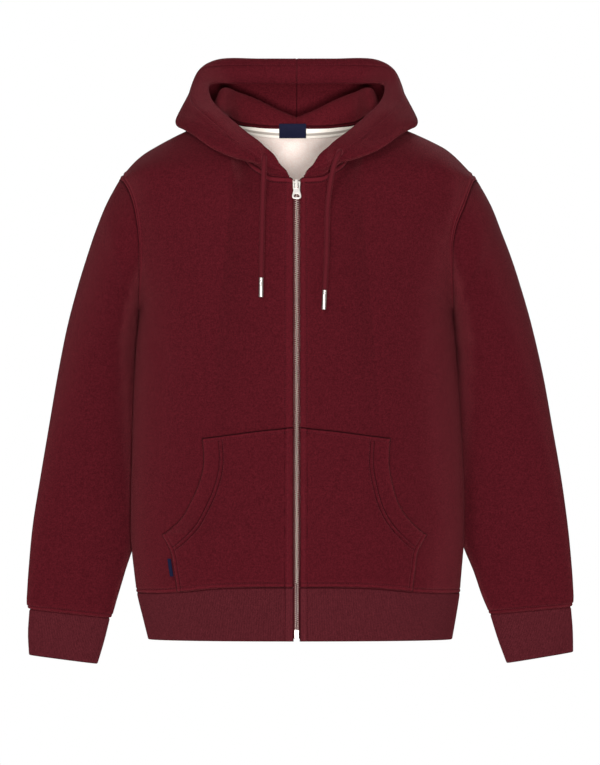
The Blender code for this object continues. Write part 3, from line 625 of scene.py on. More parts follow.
def knit_material(name, dark, light, roughness, sheen, depth, **sizes):
    """Knitted cloth with its loops and fibres as bump, and its shade uneven between two colours,
    with painted shade in its sunk seams and a painted highlight on its raised ones.
    """
    material, tree, shader = new_material(name, roughness, sheen, gloss=CLOTH_GLOSS)
    knit = use_group(tree, knit_group, **sizes)
    tint(tree, shader, knit.outputs["Shade"], dark, light, knit.outputs["Painted Shade"])
    bump(tree, shader, knit.outputs["Height"], depth)
    return material


fleece = knit_material("fleece face", FLEECE_DARK, FLEECE_LIGHT, 0.92, 0.13, 0.24 * MM)
brushed = knit_material(
    "brushed fleece inside", BRUSHED_DARK, BRUSHED_LIGHT, 0.96, 0.0, 0.4 * MM, Wale=1.6, Course=1.2
)
overlock = knit_material("overlocked edge", FLEECE_DARK, FLEECE_LIGHT, 0.95, 0.0, 0.2 * MM)
thread = knit_material("sewing thread", THREAD_DARK, THREAD_LIGHT, 0.6, 0.1, 0.05 * MM)


def side_name(side):
    return "left" if side < 0 else "right"


def body_at(column, height):
    return curve_through(BODY["height"], BODY[column], height)


def rib_seam_height(across):
    return curve_through(RIB_SEAM["across"], RIB_SEAM["height"], across)


def top_edge(side, face):
    """Neckline and shoulder seam, as columns across, depth and height, and the neck's share."""
    start = 0 if face == "front" else len(NECKLINE) - 1
    neck = by_number(NECKLINE, np.linspace(start, NECK_POINT, NECK_COLUMNS))
    seam = curve_of(SHOULDER[side_name(side)], SHOULDER_COLUMNS)[1:]
    across, depth, height = np.concatenate([neck, seam]).T
    return across, FACES[face] * depth, height


def hem_shares(across):
    """Shares of the half width at the hem, crowding towards the round side."""
    even = np.linspace(0, 1, len(across))
    crowded = (1 - HEM_CROWDED) * even + HEM_CROWDED * np.sin(even * math.pi / 2)
    return (crowded + (across - across[0]) / (across[-1] - across[0])) / 2


def armhole_at(side, face, at):
    """Height, half width and depth of the armhole, at row numbers of its table."""
    columns = np.stack([ARMHOLE["height"], ARMHOLE[side_name(side)], ARMHOLE[face]], axis=-1)
    return by_number(columns, at).T


def half_panel(side, face):
    """Half of the body's front or back: rows from the rib up, columns from the middle out."""
    name = side_name(side)
    top_across, top_depth, top_height = top_edge(side, face)
    seam_rows = np.linspace(RIB_SEAM_SIDE, UNDERARM, SIDE_ROWS)[:-1]
    last = len(ARMHOLE["height"]) - 1
    hole = armhole_at(side, face, last * np.linspace(1, 0, ARMHOLE_ROWS) ** CROWDED)
    height = np.concatenate([seam_rows, hole[0]])
    width = np.concatenate([body_at(name, seam_rows), hole[1]])
    edge_depth = np.concatenate([0 * seam_rows, hole[2]])
    lift = (height - height[0]) / (height[-1] - height[0])

    inner = top_across[0]
    high = (top_across - inner) / (top_across[-1] - inner)
    share = hem_shares(top_across) + (high - hem_shares(top_across)) * lift[:, None] ** 2
    across = inner + (width[:, None] - inner) * share
    bottom = rib_seam_height(across[0])
    up = bottom + (top_height - bottom) * lift[:, None]

    chest = np.clip((height - CHEST_LOW) / (CHEST_HIGH - CHEST_LOW), 0, 1)[:, None]
    chest = chest * chest * (3 - 2 * chest)
    beside = share**EDGE_POWER
    deepest = ARMHOLE[face].max()
    edge = edge_depth[:, None] * beside + deepest * chest * (1 - beside)
    roundness = SIDE_ROUND + (ARMHOLE_ROUND - SIDE_ROUND) * edge / deepest
    section = (1 - np.clip(share, 0, 1) ** SIDE_POWER) ** (1 / roundness)
    depth = edge + (body_at(face, up) - edge) * section

    neck_end = NECKLINE[NECK_POINT, 0]
    from_neck = np.where(
        top_across > neck_end,
        (top_across - neck_end) / (top_across[-1] - neck_end),
        1 - top_across / neck_end,
    )
    reach = SHOULDER_ROUND * (1 - from_neck**2)
    fall = np.where(reach > 1e-9, (top_height - up) / np.maximum(reach, 1e-9), 1)
    along_neck = np.where(top_across < neck_end, from_neck, 0)
    steep = SHOULDER_EASE + (NECK_EASE - SHOULDER_EASE) * np.sqrt(along_neck)
    ease = (1 - (1 - np.clip(fall, 0, 1)) ** 2) ** steep
    depth = top_depth + (depth - top_depth) * ease
    return np.stack([side * across, FACES[face] * depth, up], axis=-1)


def grid_normals(grid, closed=False):
    """Unit normals of a grid, outwards where columns run anticlockwise and rows run up."""
    if closed:
        across = np.roll(grid, -1, axis=1) - np.roll(grid, 1, axis=1)
    else:
        across = np.gradient(grid, axis=1)
    return unit(np.cross(across, np.gradient(grid, axis=0)))


def marks(seams):
    """Distances from an edge at which the cloth needs points for its seams."""
    return np.unique(np.concatenate([[0], *[seam["away"] for seam, _ in seams]]))


def redrawn(lines, start, end, step):
    """Draws each line of points again: points at the distances start from its beginning and
    end from its end, squeezed on a short line, and about every step in between."""
    run = lengths_along(lines)
    total = run[:, -1:]
    squeeze = np.minimum(1, SQUEEZED * total / max(start[-1] + end[-1], step))
    first = start[-1] * squeeze
    last = end[-1] * squeeze
    count = max(2, round(float(np.percentile(total - first - last, LONG_LINES)) / step))
    share = np.arange(1, count) / count
    at = [start * squeeze, first + (total - first - last) * share, total - end[::-1] * squeeze]
    at = np.concatenate(at, axis=1)
    return np.array([at_lengths(*line) for line in zip(at, run, lines)])


def seam_heights(lines, start_seams, end_seams):
    """How far the seams at both ends of each line lift or sink its points."""
    run = lengths_along(lines)
    total = run[:, -1:]
    span = marks(start_seams)[-1] + marks(end_seams)[-1]
    squeeze = np.minimum(1, SQUEEZED * total / max(span, MM))
    heights = np.zeros(run.shape)
    both = (run, start_seams, lines[:, 0]), (total - run, end_seams, lines[:, -1])
    for away, seams, ends in both:
        for seam, holds in seams:
            weight = holds(ends)[:, None] if holds else 1.0
            heights += np.interp(away / squeeze, seam["away"], seam["height"]) * squeeze * weight
    return heights


def creased(grid, creases):
    """The grid pressed in along each crease, deepest in its middle."""
    normals = grid_normals(grid)
    sunk = np.zeros(grid.shape[:2])
    for start, end, width, depth in creases:
        start, end = np.array(start) * MM, np.array(end) * MM
        way = end - start
        share = np.clip((grid - start) @ way / (way @ way), 0, 1)
        gap = np.linalg.norm(grid - start - share[..., None] * way, axis=-1)
        middle = CREASE_ENDS + (1 - CREASE_ENDS) * np.sin(share * math.pi)
        sunk += depth * MM * middle * np.exp(-((gap / (width * MM)) ** 2))
    return grid - normals * sunk[..., None]


def drawn_in(grid, closed):
    """The grid with its edges half a seam gap back from where it meets its neighbours."""
    grid = grid.copy()
    edges = [(grid[0], grid[1]), (grid[-1], grid[-2])]
    if not closed:
        edges += [(grid[:, 0], grid[:, 1]), (grid[:, -1], grid[:, -2])]
    for edge, beside in edges:
        way = beside - edge
        length = np.maximum(np.linalg.norm(way, axis=-1, keepdims=True), 1e-9)
        edge += way / length * np.minimum(SEAM_GAP / 2, 0.4 * length)
    return grid


def cloth_piece(
    name, node, grid, wall, cloths, heights=None, folded=(), closed=False, counted=(0, 0)
):
    """A wall of cloth under a grid of outside points, with cloths on its outside and inside.
    heights lifts its outside, and its inside follows near the folded edges, which are rounded.
    The knit lies along the counted row and column."""
    rows, columns = grid.shape[:2]
    if heights is None:
        heights = np.zeros((rows, columns))
    normals = grid_normals(grid, closed)
    grid = drawn_in(grid, closed)
    under = np.zeros((rows, columns))
    across = lengths_along(grid)
    up = lengths_along(grid.transpose(1, 0, 2)).T
    away = {"bottom": up, "top": up[-1:] - up, "first": across, "last": across[:, -1:] - across}
    for edge in folded:
        under = np.maximum(under, wall * FOLD_ROUND * np.exp(-away[edge] / (FOLD_REACH * wall)))
    outer = grid + normals * heights[..., None]
    inner = grid - normals * (wall - under)[..., None]
    points = np.concatenate([outer.reshape(-1, 3), inner.reshape(-1, 3)])
    size = rows * columns

    corners = grid_corners(rows, columns, closed)
    faces = corners[..., 0] * columns + corners[..., 1] % columns
    last = columns if closed else columns - 1
    c, r = np.arange(last), np.arange(rows - 1)
    top = (rows - 1) + 0 * c
    rims = [((0 * c, c + 1), (0 * c, c)), ((top, c), (top, c + 1))]
    if not closed:
        side = (columns - 1) + 0 * r
        rims += [((r, 0 * r), (r + 1, 0 * r)), ((r + 1, side), (r, side))]
    rim_faces, rim_corners = [], []
    for start, end in rims:
        a = start[0] * columns + start[1] % columns
        b = end[0] * columns + end[1] % columns
        rim_faces.append(np.stack([a, b, b + size, a + size], axis=1))
        both = [np.stack(start, axis=-1), np.stack(end, axis=-1)]
        rim_corners.append(np.stack([both[0], both[1], both[1], both[0]], axis=1))
    all_faces = np.concatenate([faces, faces[:, ::-1] + size, *rim_faces])
    all_corners = np.concatenate([corners, corners[:, ::-1], *rim_corners])
    which = np.zeros(len(all_faces), int)
    which[len(faces) : 2 * len(faces)] = 1

    if closed:
        around = np.linalg.norm(grid[:, -1] - grid[:, 0], axis=-1)
        across = np.concatenate([across, (across[:, -1] + around)[:, None]], axis=1)
        up = np.concatenate([up, up[:, :1]], axis=1)
    row, column = counted
    at = np.stack([across - across[:, [column]], up - up[[row]]], axis=-1)
    uv = at[all_corners[..., 0], all_corners[..., 1]]
    made = make_piece(name, points, all_faces.tolist(), cloths, uv, which)
    # The outside's heights, in millimetres, which the cloth's material paints as shade in grooves
    # and as highlight on ridges.
    relief = made.data.attributes.new("relief", "FLOAT", "POINT")
    shown = np.concatenate([heights.ravel() / MM, np.zeros(size)]).astype(np.float32)
    relief.data.foreach_set("value", shown)
    return garment_piece(made, node)


def sewn(grid, heights, seams, *rows):
    """The rows of stitches on a panel: each follows an edge at a distance, where it is kept."""
    return [
        seam_line(grid, heights, edge, seams[edge], away, keep) for edge, away, keep in rows
    ]


def stitched(name, lines):
    """Rows of stitches along lines of (points, normals), joined into one piece."""
    along, high, radius = np.array(STITCH_RINGS).T[..., None]
    angle = 2 * math.pi * np.arange(STITCH_SIDES) / STITCH_SIDES
    shape = [along + 0 * angle, radius * np.cos(angle), high + radius * np.sin(angle)]
    shape = np.stack(shape, axis=-1).reshape(-1, 3)
    corners = grid_corners(len(STITCH_RINGS), STITCH_SIDES, True)
    shape_faces = corners[..., 0] * STITCH_SIDES + corners[..., 1] % STITCH_SIDES
    points = []
    for line, normals in lines:
        run = lengths_along(line)
        count = int(run[-1] / STITCH_PITCH)
        if count < 1:
            continue
        middle = (np.arange(count) + 0.5) * run[-1] / count
        ends = [at_lengths(middle + s * STITCH_LENGTH / 2, run, line) for s in (-1, 1)]
        way = unit(ends[1] - ends[0])
        up = at_lengths(middle, run, normals)
        points.append(
            at_lengths(middle, run, line)[:, None]
            + shape[:, 0, None] * STITCH_LENGTH * way[:, None]
            + shape[:, 1, None] * THREAD * np.cross(up, way)[:, None]
            + shape[:, 2, None] * THREAD * up[:, None]
        )
    points = np.concatenate(points)
    offset = np.arange(len(points))[:, None, None] * len(shape)
    faces = (shape_faces[None] + offset).reshape(-1, 4)
    made = make_piece(name, points.reshape(-1, 3), faces.tolist(), [thread])
    return garment_piece(made, None)


def panel(
    grid, step, bottom=(), top=(), first=(), last=(), creases=(), closed=False, pitch=None
):
    """A grid drawn again for its seams, with creases, and the heights of its seams. A pitch sets
    its columns even and that far apart."""
    grid = redrawn(grid.transpose(1, 0, 2), marks(bottom), marks(top), step).transpose(1, 0, 2)
    if closed:
        grid = np.concatenate([grid, grid[:, :1]], axis=1)
    sides = ((), ()) if pitch else (first, last)
    grid = redrawn(grid, marks(sides[0]), marks(sides[1]), pitch or step)
    if closed:
        grid = grid[:, :-1]
    heights = seam_heights(grid.transpose(1, 0, 2), bottom, top).T
    return creased(grid, creases), heights + seam_heights(grid, first, last)


def seam_line(grid, heights, edge, seams, away, keep=None):
    """Points and normals along the stitches at this distance from an edge of a panel."""
    place = int(np.argmin(np.abs(marks(seams) - away)))
    normals = grid_normals(grid)
    surface = grid + normals * heights[..., None]
    if edge in ("first", "last"):
        surface, normals = surface.swapaxes(0, 1), normals.swapaxes(0, 1)
    if edge in ("top", "last"):
        place = -1 - place
    line, up = surface[place], normals[place]
    kept = np.ones(len(line), bool) if keep is None else keep(line) > 0
    return line[kept], up[kept]


def seam_ridge(name, line, out, wall=FLEECE_WALL):
    """The allowances of a seam, overlocked into a soft ridge inside it."""
    run = lengths_along(line)
    even = np.linspace(0, run[-1], int(run[-1] / RIDGE_STEP))
    out = unit(at_lengths(even, run, np.broadcast_to(out, line.shape)))
    line = at_lengths(even, run, line) - out * (wall + RIDGE_INSIDE)
    radii = RIDGE_RADIUS * (1 + RIDGE_UNEVEN * np.cos(2 * math.pi * even / RIDGE_LOOP))
    garment_piece(round_tube(name, line, radii, RIDGE_SIDES, overlock, out=out), None)


def on_neck(ends):
    return (np.abs(ends[:, 0]) <= NECKLINE[NECK_POINT, 0]).astype(float)


def on_shoulder(ends):
    return 1 - on_neck(ends)


def on_armhole(ends):
    return (ends[:, 2] > UNDERARM).astype(float)


def on_side(ends):
    return 1 - on_armhole(ends)


RIB_STITCH = 5.9 * MM
NECK_STITCH = 8.4 * MM
ARMHOLE_STITCH = 7.8 * MM
ZIP_STITCH = {"left": 12.0 * MM, "right": 10.1 * MM}
rib_seams = [(STITCHED_SEAM, None)]
plain_seams = [(PLAIN_SEAM, None)]
top_seams = [(NECK_SEAM, on_neck), (PLAIN_SEAM, on_shoulder)]
outer_seams = [(ARMHOLE_SEAM, on_armhole), (PLAIN_SEAM, on_side)]
body_threads = []
for side in (-1, 1):
    name = side_name(side)
    zip_side, arm_side = ("last", "first") if side < 0 else ("first", "last")
    seams = {
        "bottom": rib_seams, "top": top_seams, arm_side: outer_seams,
        zip_side: [(ZIP_FOLDS[name], None)],
    }
    half = half_panel(side, "front")[:, ::side]
    grid, heights = panel(half, FRONT_STEP, creases=FRONT_CREASES, **seams)
    front = cloth_piece(
        f"front_panel_{name}", f"front_{name}", grid, FLEECE_WALL, (fleece, brushed),
        heights, folded=(zip_side,), counted=(0, -1 if side < 0 else 0),
    )
    body_threads += sewn(
        grid, heights, seams, ("bottom", RIB_STITCH, None), ("top", NECK_STITCH, on_neck),
        (zip_side, ZIP_STITCH[name], None), (arm_side, ARMHOLE_STITCH, on_armhole),
    )

back_base = np.concatenate(
    [half_panel(1, "back")[:, ::-1], half_panel(-1, "back")[:, 1:]], axis=1
)
back_top = back_base[-1]
for side, edge in ((1, 0), (-1, -1)):
    name = side_name(side)
    seam_ridge(f"side_seam_{name}", back_base[: SIDE_ROWS + 1, edge], (side, 0, 0))
    shoulder = back_top[side * back_top[:, 0] > NECKLINE[NECK_POINT, 0]]
    seam_ridge(f"shoulder_seam_{name}", shoulder, (0, 0, 1))
seams = {"bottom": rib_seams, "top": top_seams, "first": outer_seams, "last": outer_seams}
grid, heights = panel(back_base, BACK_STEP, creases=BACK_CREASES, **seams)
back = cloth_piece(
    "back_panel", "back", grid, FLEECE_WALL, (fleece, brushed), heights,
    counted=(0, grid.shape[1] // 2),
)
body_threads += sewn(
    grid, heights, seams, ("bottom", RIB_STITCH, None), ("top", NECK_STITCH, on_neck),
    ("first", RIB_STITCH, on_armhole), ("last", RIB_STITCH, on_armhole),
)
stitched("body_stitches", body_threads)


# The hem band and the cuffs: rib knit folded double, whose ribs run up and down. They are
# overlocked to the body and sleeves and draw the fleece in a little above them.
RIB_WALL = 2.6 * MM
RIB_PITCH = 2.4 * MM
RIB_DEPTH = 0.32 * MM
RIB_COLUMNS = 4  # points across one rib
BAND_COLUMNS = 160  # of each quarter of the band, before it is drawn again for its ribs
BAND_ROWS = 24
HEM_HEIGHT = -688 * MM
HEM_STEP = 12 * MM
RIB_FADE = 1.5 * MM  # from flat at an edge to the full depth
RIB_EDGE = seam_profile((0, -0.7), (0.5, -0.4), (1.3, -0.1), (2.6, 0), (4, 0))
RIB_FOLD = seam_profile((0, -1.4), (0.4, -0.7), (1.0, -0.25), (2.0, 0), (4, 0))
RIB_DARK = (0.033, 0.0036, 0.0056)
RIB_LIGHT = (0.082, 0.0120, 0.0165)
rib_cloth = knit_material(
    "rib knit", RIB_DARK, RIB_LIGHT, 0.92, 0.08, 0.16 * MM, Wale=RIB_PITCH / MM / 2, Course=0.9
)


def around(share):
    return (1 - np.clip(share, 0, 1) ** SIDE_POWER) ** (1 / SIDE_ROUND)


def lower_body(side, face, share, height, inner):
    """Points of the body below the underarm."""
    width = body_at(side_name(side), height)
    across = inner + (width - inner) * share
    depth = body_at(face, height) * around(share)
    return np.stack([side * across, FACES[face] * depth, height + 0 * across], axis=-1)


def rib_band():
    """The hem band, columns from the right edge of the zip round the back to the left edge."""
    shares = np.sin(np.linspace(0, math.pi / 2, BAND_COLUMNS))
    runs = (
        (1, "front", shares, ZIP_EDGE),
        (1, "back", shares[::-1][1:], 0),
        (-1, "back", shares[1:], 0),
        (-1, "front", shares[::-1][1:], ZIP_EDGE),
    )
    rows = []
    for part in np.linspace(0, 1, BAND_ROWS):
        row = []
        for side, face, share, inner in runs:
            wide = body_at(side_name(side), RIB_SEAM_SIDE)
            seam = rib_seam_height(inner + (wide - inner) * share)
            height = HEM_HEIGHT + (seam - HEM_HEIGHT) * part
            row.append(lower_body(side, face, share, height, inner))
        rows.append(np.concatenate(row))
    return np.array(rows)


def ribbed(grid, heights, closed):
    """Heights with the ribs added: a whole number of ribs round the cloth, flat at its ends."""
    columns = grid.shape[1]
    columns_each = columns / round(columns / RIB_COLUMNS) if closed else RIB_COLUMNS
    wave = np.cos(2 * math.pi * np.arange(columns) / columns_each)
    away = lengths_along(grid.transpose(1, 0, 2)).T
    away = np.minimum(away, away[-1:] - away)
    return heights + RIB_DEPTH * wave * np.clip(away / RIB_FADE, 0, 1)


rib_fold, rib_edge = [(RIB_FOLD, None)], [(RIB_EDGE, None)]
rib_pitch = RIB_PITCH / RIB_COLUMNS
rib_base = rib_band()
band, heights = panel(
    rib_base, HEM_STEP, rib_fold, rib_edge, [(ZIP_FOLDS["right"], None)],
    [(ZIP_FOLDS["left"], None)], pitch=rib_pitch,
)
heights = ribbed(band, heights, False)
hem = cloth_piece(
    "hem_band", "hem_rib", band, RIB_WALL, [rib_cloth] * 2, heights,
    folded=("bottom", "first", "last"),
)

hem_out = rib_base[-1] - rib_base[-1].mean(axis=0)
seam_ridge("hem_seam", rib_base[-1], hem_out * (1, 1, 0), RIB_WALL)
hem_normals = grid_normals(band)
hem_surface = band + hem_normals * (heights + RIB_DEPTH)[..., None]
hem_lines = []
for name, columns in (("right", lengths_along(band)), ("left", -lengths_along(band))):
    across = columns[0] - columns[0].min()
    column = int(np.argmin(np.abs(across - ZIP_STITCH[name])))
    hem_lines.append((hem_surface[:, column], hem_normals[:, column]))
stitched("hem_stitches", hem_lines)


# The sleeves: one piece of fleece each, sewn into a tube from the underarm to the cuff, set
# into the armhole and closed off by a rib cuff.
SECTION = "outer outer_height inner inner_height middle depth"
SLEEVES = {"left": table(
    SECTION,
    (256, -98, 213.4, -252, 6, 69),
    (271, -134, 213.9, -264, 14, 72),
    (284, -172, 214.7, -282, 20, 73),
    (297, -214, 217, -306, 26, 71),
    (311, -267, 215.4, -341, 31, 65),
    (324, -332, 214.4, -385, 36, 58),
    (336, -402, 215.4, -440, 38, 46),
    (347.5, -470, 216.2, -493, 38, 34),
    (357.5, -533, 217.8, -548, 37, 26),
    (362.5, -585, 232, -597, 34, 21),
    (365, -622, 243, -634, 31, 18),
    (365.5, -640, 248.5, -653, 29.5, 16),
    (361.5, -648, 253, -660, 29, 13),
), "right": table(
    SECTION,
    (262, -101, 211.3, -252, 6, 69),
    (277, -138, 211.8, -264, 14, 72),
    (290.5, -173, 212.8, -282, 20, 73),
    (303, -211, 215.2, -306, 26, 71),
    (318, -263, 214.4, -341, 31, 65),
    (334, -332, 214.4, -385, 36, 58),
    (347, -404, 216.4, -440, 38, 46),
    (358.5, -470, 218.4, -493, 38, 34),
    (367.5, -536, 221, -548, 37, 26),
    (372.5, -588, 239.5, -597, 34, 21),
    (374.5, -619, 250, -628, 31, 18),
    (374.8, -636, 258.5, -648, 29.5, 16),
    (371, -645, 262, -655, 29, 13),
)}
CUFFS = {"left": table(
    SECTION,
    (361.5, -648, 253, -660, 29, 13),
    (363.5, -680, 261, -692, 28, 12.5),
    (362, -710, 270, -722, 27, 11),
), "right": table(
    SECTION,
    (371, -645, 262, -655, 29, 13),
    (373.5, -676, 273, -690, 28, 12.5),
    (374, -706, 284.5, -721, 27, 11),
)}
# The sleeve sinks under the armhole seam, and the sunk cloth is painted darker there, a painted
# shadow beside the seam.
SLEEVE_HEAD = seam_profile(
    (0, -1.2), (0.8, -0.7), (1.8, -0.4), (3.2, -0.22), (5, -0.08), (8, 0)
)
SLEEVE_STEP = 5.2 * MM
RING_STEPS = 160
ROWS_EACH = 14  # rows drawn between two sections of a sleeve
RING_POWER = 0.92
CUFF_STITCH = 5.9 * MM
SLEEVE_CREASES = (
    ((-222, -26, -276), (-284, -30, -318), 13, 3),
    ((-224, -18, -306), (-296, -14, -362), 12, 2.4),
    ((-232, -8, -360), (-318, -2, -392), 15, 2.2),
    ((-246, 0, -404), (-330, -4, -426), 13, 2),
    ((-226, 6, -470), (-296, 2, -486), 14, 1.6),
    ((-262, 10, -560), (-352, 12, -548), 12, 1.6),
    ((-268, 12, -602), (-350, 14, -596), 9, 1.8),
    ((-262, 14, -632), (-326, 14, -626), 6, 1.2),
    ((-230, 78, -300), (-300, 84, -330), 16, 2.6),
    ((-236, 82, -380), (-326, 80, -404), 16, 2.2),
    ((-250, 70, -470), (-340, 70, -480), 18, 2),
    ((-268, 54, -590), (-350, 52, -580), 11, 1.8),
    ((222, -26, -282), (290, -30, -312), 13, 2.8),
    ((224, -16, -318), (302, -14, -372), 13, 2.6),
    ((236, -8, -372), (330, -2, -398), 14, 2),
    ((252, 0, -424), (344, -2, -436), 15, 2.2),
    ((230, 6, -476), (310, 4, -500), 13, 1.5),
    ((268, 10, -566), (360, 12, -556), 13, 1.7),
    ((272, 12, -606), (362, 14, -602), 8, 1.6),
    ((272, 14, -634), (340, 14, -628), 6, 1.2),
    ((230, 78, -306), (310, 84, -324), 17, 2.5),
    ((240, 82, -392), (336, 80, -400), 15, 2.4),
    ((256, 70, -476), (350, 70, -470), 18, 1.8),
    ((276, 54, -596), (360, 52, -588), 11, 1.8),
)


def turned(points, side):
    """Columns run the other way round on the right side, and start at the same point."""
    return points if side < 0 else np.roll(points[:, ::-1], 1, axis=1)


def tube(sections, side, ends):
    """Rings of a sleeve or cuff from its lower end up, between its first and last section."""
    columns = np.stack(list(sections.values()), axis=-1)
    at = np.linspace(len(columns) - 1, 0, ROWS_EACH * (len(columns) - 1) + 1)
    outer, outer_height, inner, inner_height, middle, depth = (
        column[:, None] for column in by_number(columns, at).T
    )
    angle = np.arange(RING_STEPS) * 2 * math.pi / RING_STEPS
    along, sideways = (
        np.sign(turn) * np.abs(turn) ** RING_POWER for turn in (np.cos(angle), np.sin(angle))
    )
    across = (outer + inner) / 2 + (outer - inner) / 2 * along
    up = (outer_height + inner_height) / 2 + (outer_height - inner_height) / 2 * along
    rings = np.stack([side * across, middle - depth * sideways, up], axis=-1)
    if not ends:
        return turned(rings, side)
    at = (len(ARMHOLE["height"]) - 1) * np.linspace(0, 1, RING_STEPS // 2 + 1)
    hole = []
    for face, sign in FACES.items():
        up, across, depth = armhole_at(side, face, at)
        hole.append(np.stack([side * across, sign * depth, up], axis=-1))
    rows = np.concatenate([rings[::ROWS_EACH], [np.concatenate([hole[0], hole[1][-2:0:-1]])]])
    rows = curve_of(rows, ROWS_EACH * (len(rows) - 1) + 1)
    return turned(rows, side)


sleeve_threads = []
for side in (-1, 1):
    name = side_name(side)
    sleeve_tube = tube(SLEEVES[name], side, True)
    grid, heights = panel(
        sleeve_tube, SLEEVE_STEP, rib_seams, [(SLEEVE_HEAD, None)], creases=SLEEVE_CREASES,
        closed=True,
    )
    sleeve = cloth_piece(
        f"sleeve_tube_{name}", f"sleeve_{name}", grid, FLEECE_WALL, (fleece, brushed),
        heights, closed=True,
    )
    sleeve_threads.append(seam_line(grid, heights, "bottom", rib_seams, CUFF_STITCH))
    out = grid_normals(sleeve_tube, True)
    for seam, row, tilt in (("armhole", -1, (1, 1, 1)), ("cuff", 0, (1, 1, 0.2))):
        ring_line, ring_out = (np.concatenate([a[row], a[row, :2]]) for a in (sleeve_tube, out))
        seam_ridge(f"{seam}_seam_{name}", ring_line, ring_out * tilt)

    cuff_tube = tube(CUFFS[name], side, False)
    grid, heights = panel(cuff_tube, HEM_STEP, rib_fold, rib_edge, closed=True, pitch=rib_pitch)
    cuff = cloth_piece(
        f"cuff_band_{name}", f"cuff_{name}", grid, RIB_WALL, [rib_cloth] * 2,
        ribbed(grid, heights, True), folded=("bottom",), closed=True,
    )
stitched("cuff_stitches", sleeve_threads)


# The hood: two halves of fleece and two of jersey lining, joined down the middle and turned
# over a cord tunnel at the face edge. It stands up at the neck, falls back into a bag behind
# it, and its rim rolls forward again over the shoulders.
HOOD_LIFT = 1.2 * MM
LINING_WALL = 1.6 * MM
LINING_GAP = 0.8 * MM
HOOD_STEP = 4.0 * MM
LINING_STEP = 5.0 * MM
# Sections from the front of the neck to the middle of the back. Each starts on the neckline and
# passes these points: where the cloth stands, the near wall, the bottom of the bag, the outer
# wall low and high, the roll of the rim and the face edge.
HOOD = np.array((
    ((11.8, -90.3, -61.2), (12.8, -90.6, -60.2), (13.9, -90.9, -59.2), (15.1, -91.2, -58.2),
     (16, -91.4, -57.3), (16.9, -91.6, -56.4), (17.6, -91.8, -55.6)),
    ((25.1, -89.6, -58.5), (25.6, -90.4, -55.5), (26.4, -91, -52.3), (27.3, -91.3, -49),
     (28.1, -91.3, -45.6), (29, -91, -42.3), (29.7, -90.3, -39)),
    ((38.1, -87.2, -57), (38.4, -89.6, -53.2), (38.9, -91.4, -49.2), (39.6, -92, -44.6),
     (40.1, -91.4, -39.4), (40.6, -89.6, -33.6), (41, -86.6, -27.5)),
    ((49.4, -84, -52.6), (50, -89.4, -50.2), (50.8, -94.6, -46.8), (51.6, -98, -41.4),
     (51.6, -97.4, -34.6), (50.9, -92.4, -26.6), (49.8, -83.6, -18.7)),
    ((66, -74, -40.4), (69, -82.5, -42.6), (73, -91, -43.8), (78, -96.5, -38.6),
     (76.8, -93.6, -28), (71, -84, -17), (65.7, -71.6, -6.8)),
    ((84.5, -56, -16.4), (92.4, -68.5, -26), (101.5, -78, -32), (112, -80.6, -26.6),
     (112.4, -75.2, -10.4), (98, -66.4, 1), (83.5, -53, 8.6)),
    ((96, -33, 13), (109, -49, 0.4), (124.5, -58, -11.4), (140, -56.5, -8),
     (142.6, -50.4, 7), (126, -44, 21), (104.5, -33, 27)),
    ((103, 3, 23.5), (119, 0, 19.5), (140, -5, 7.5), (157, -10, 2),
     (163, -11, 13), (144.5, -9, 36), (117.5, -6, 43.5)),
    ((97, 42, 53), (110, 60, 24), (127, 74, -2), (149, 78, -2),
     (152.5, 62, 28), (140, 34, 62), (121, 24, 60)),
    ((79, 66, 48.5), (93, 88, 10), (109, 100, -50), (131, 116, -48),
     (147, 108, 18), (132, 66, 84.5), (112.5, 50, 68)),
    ((55, 80, 40), (66, 99, -4), (75, 113, -84), (92, 138, -86),
     (112, 148, -4), (105, 94, 97), (88, 76, 69)),
    ((27, 89, 26), (32, 105, -16), (37, 119, -107), (45, 148, -110),
     (52, 166, -16), (50, 113, 97.5), (45, 91, 69.3)),
    ((0, 91, 14.5), (0, 106, -20), (0, 121, -112), (0, 151, -115),
     (0, 170, -18), (0, 118, 97.5), (0, 96, 69)),
)) * MM
HOOD_COLUMNS = 170
HOOD_ROWS = 150
TUNNEL_STITCH = 25.0 * MM
FACE_EDGE = seam_profile(
    (0, 0), (1.2, 0.1), (4, 0.2), (9, 0.3), (15, 0.3), (20, 0.2), (23.4, 0.1), (24.2, -0.15),
    (25, -0.45), (25.8, -0.15), (26.6, 0.1), (30, 0),
)
LINING_EDGE = seam_profile((0, -0.4), (1.5, 0), (4, 0))
CURL_RADIUS = 2.2 * MM
CURL_STEPS = 7
CURL_SHARE = 0.06  # of the cloth's length, where the hood is short at the front of the neck
LINING_FRONT = 17 * MM  # from the middle of the zip to where the lining starts
HOOD_CREASES = (
    ((-150, 96, 40), (-128, 118, -34), 12, 3),
    ((-118, 128, 52), (-104, 136, -60), 16, 2.6),
    ((-70, 150, 40), (-62, 146, -70), 20, 2.4),
    ((-10, 164, 30), (-4, 156, -80), 22, 1.8),
    ((60, 152, 36), (66, 144, -76), 18, 2.6),
    ((112, 130, 48), (106, 132, -52), 15, 2.4),
    ((150, 92, 34), (134, 114, -40), 13, 2.8),
    ((-128, -64, 4), (-92, -84, -20), 9, 1.6),
    ((132, -62, 8), (98, -82, -16), 9, 1.6),
    ((-150, -20, 26), (-112, -62, 6), 10, 1.2),
    ((152, -22, 28), (116, -62, 8), 10, 1.2),
)
# The lining buckles out beside the neck.
LINING_CREASES = (
    ((-99, 44, 50), (-89, 36, 8), 7, -7),
    ((-70, 62, 44), (-62, 58, 14), 13, -2),
    ((100, 44, 50), (91, 35, 10), 7.5, -7.5),
    ((72, 62, 44), (63, 58, 14), 12, -2),
)

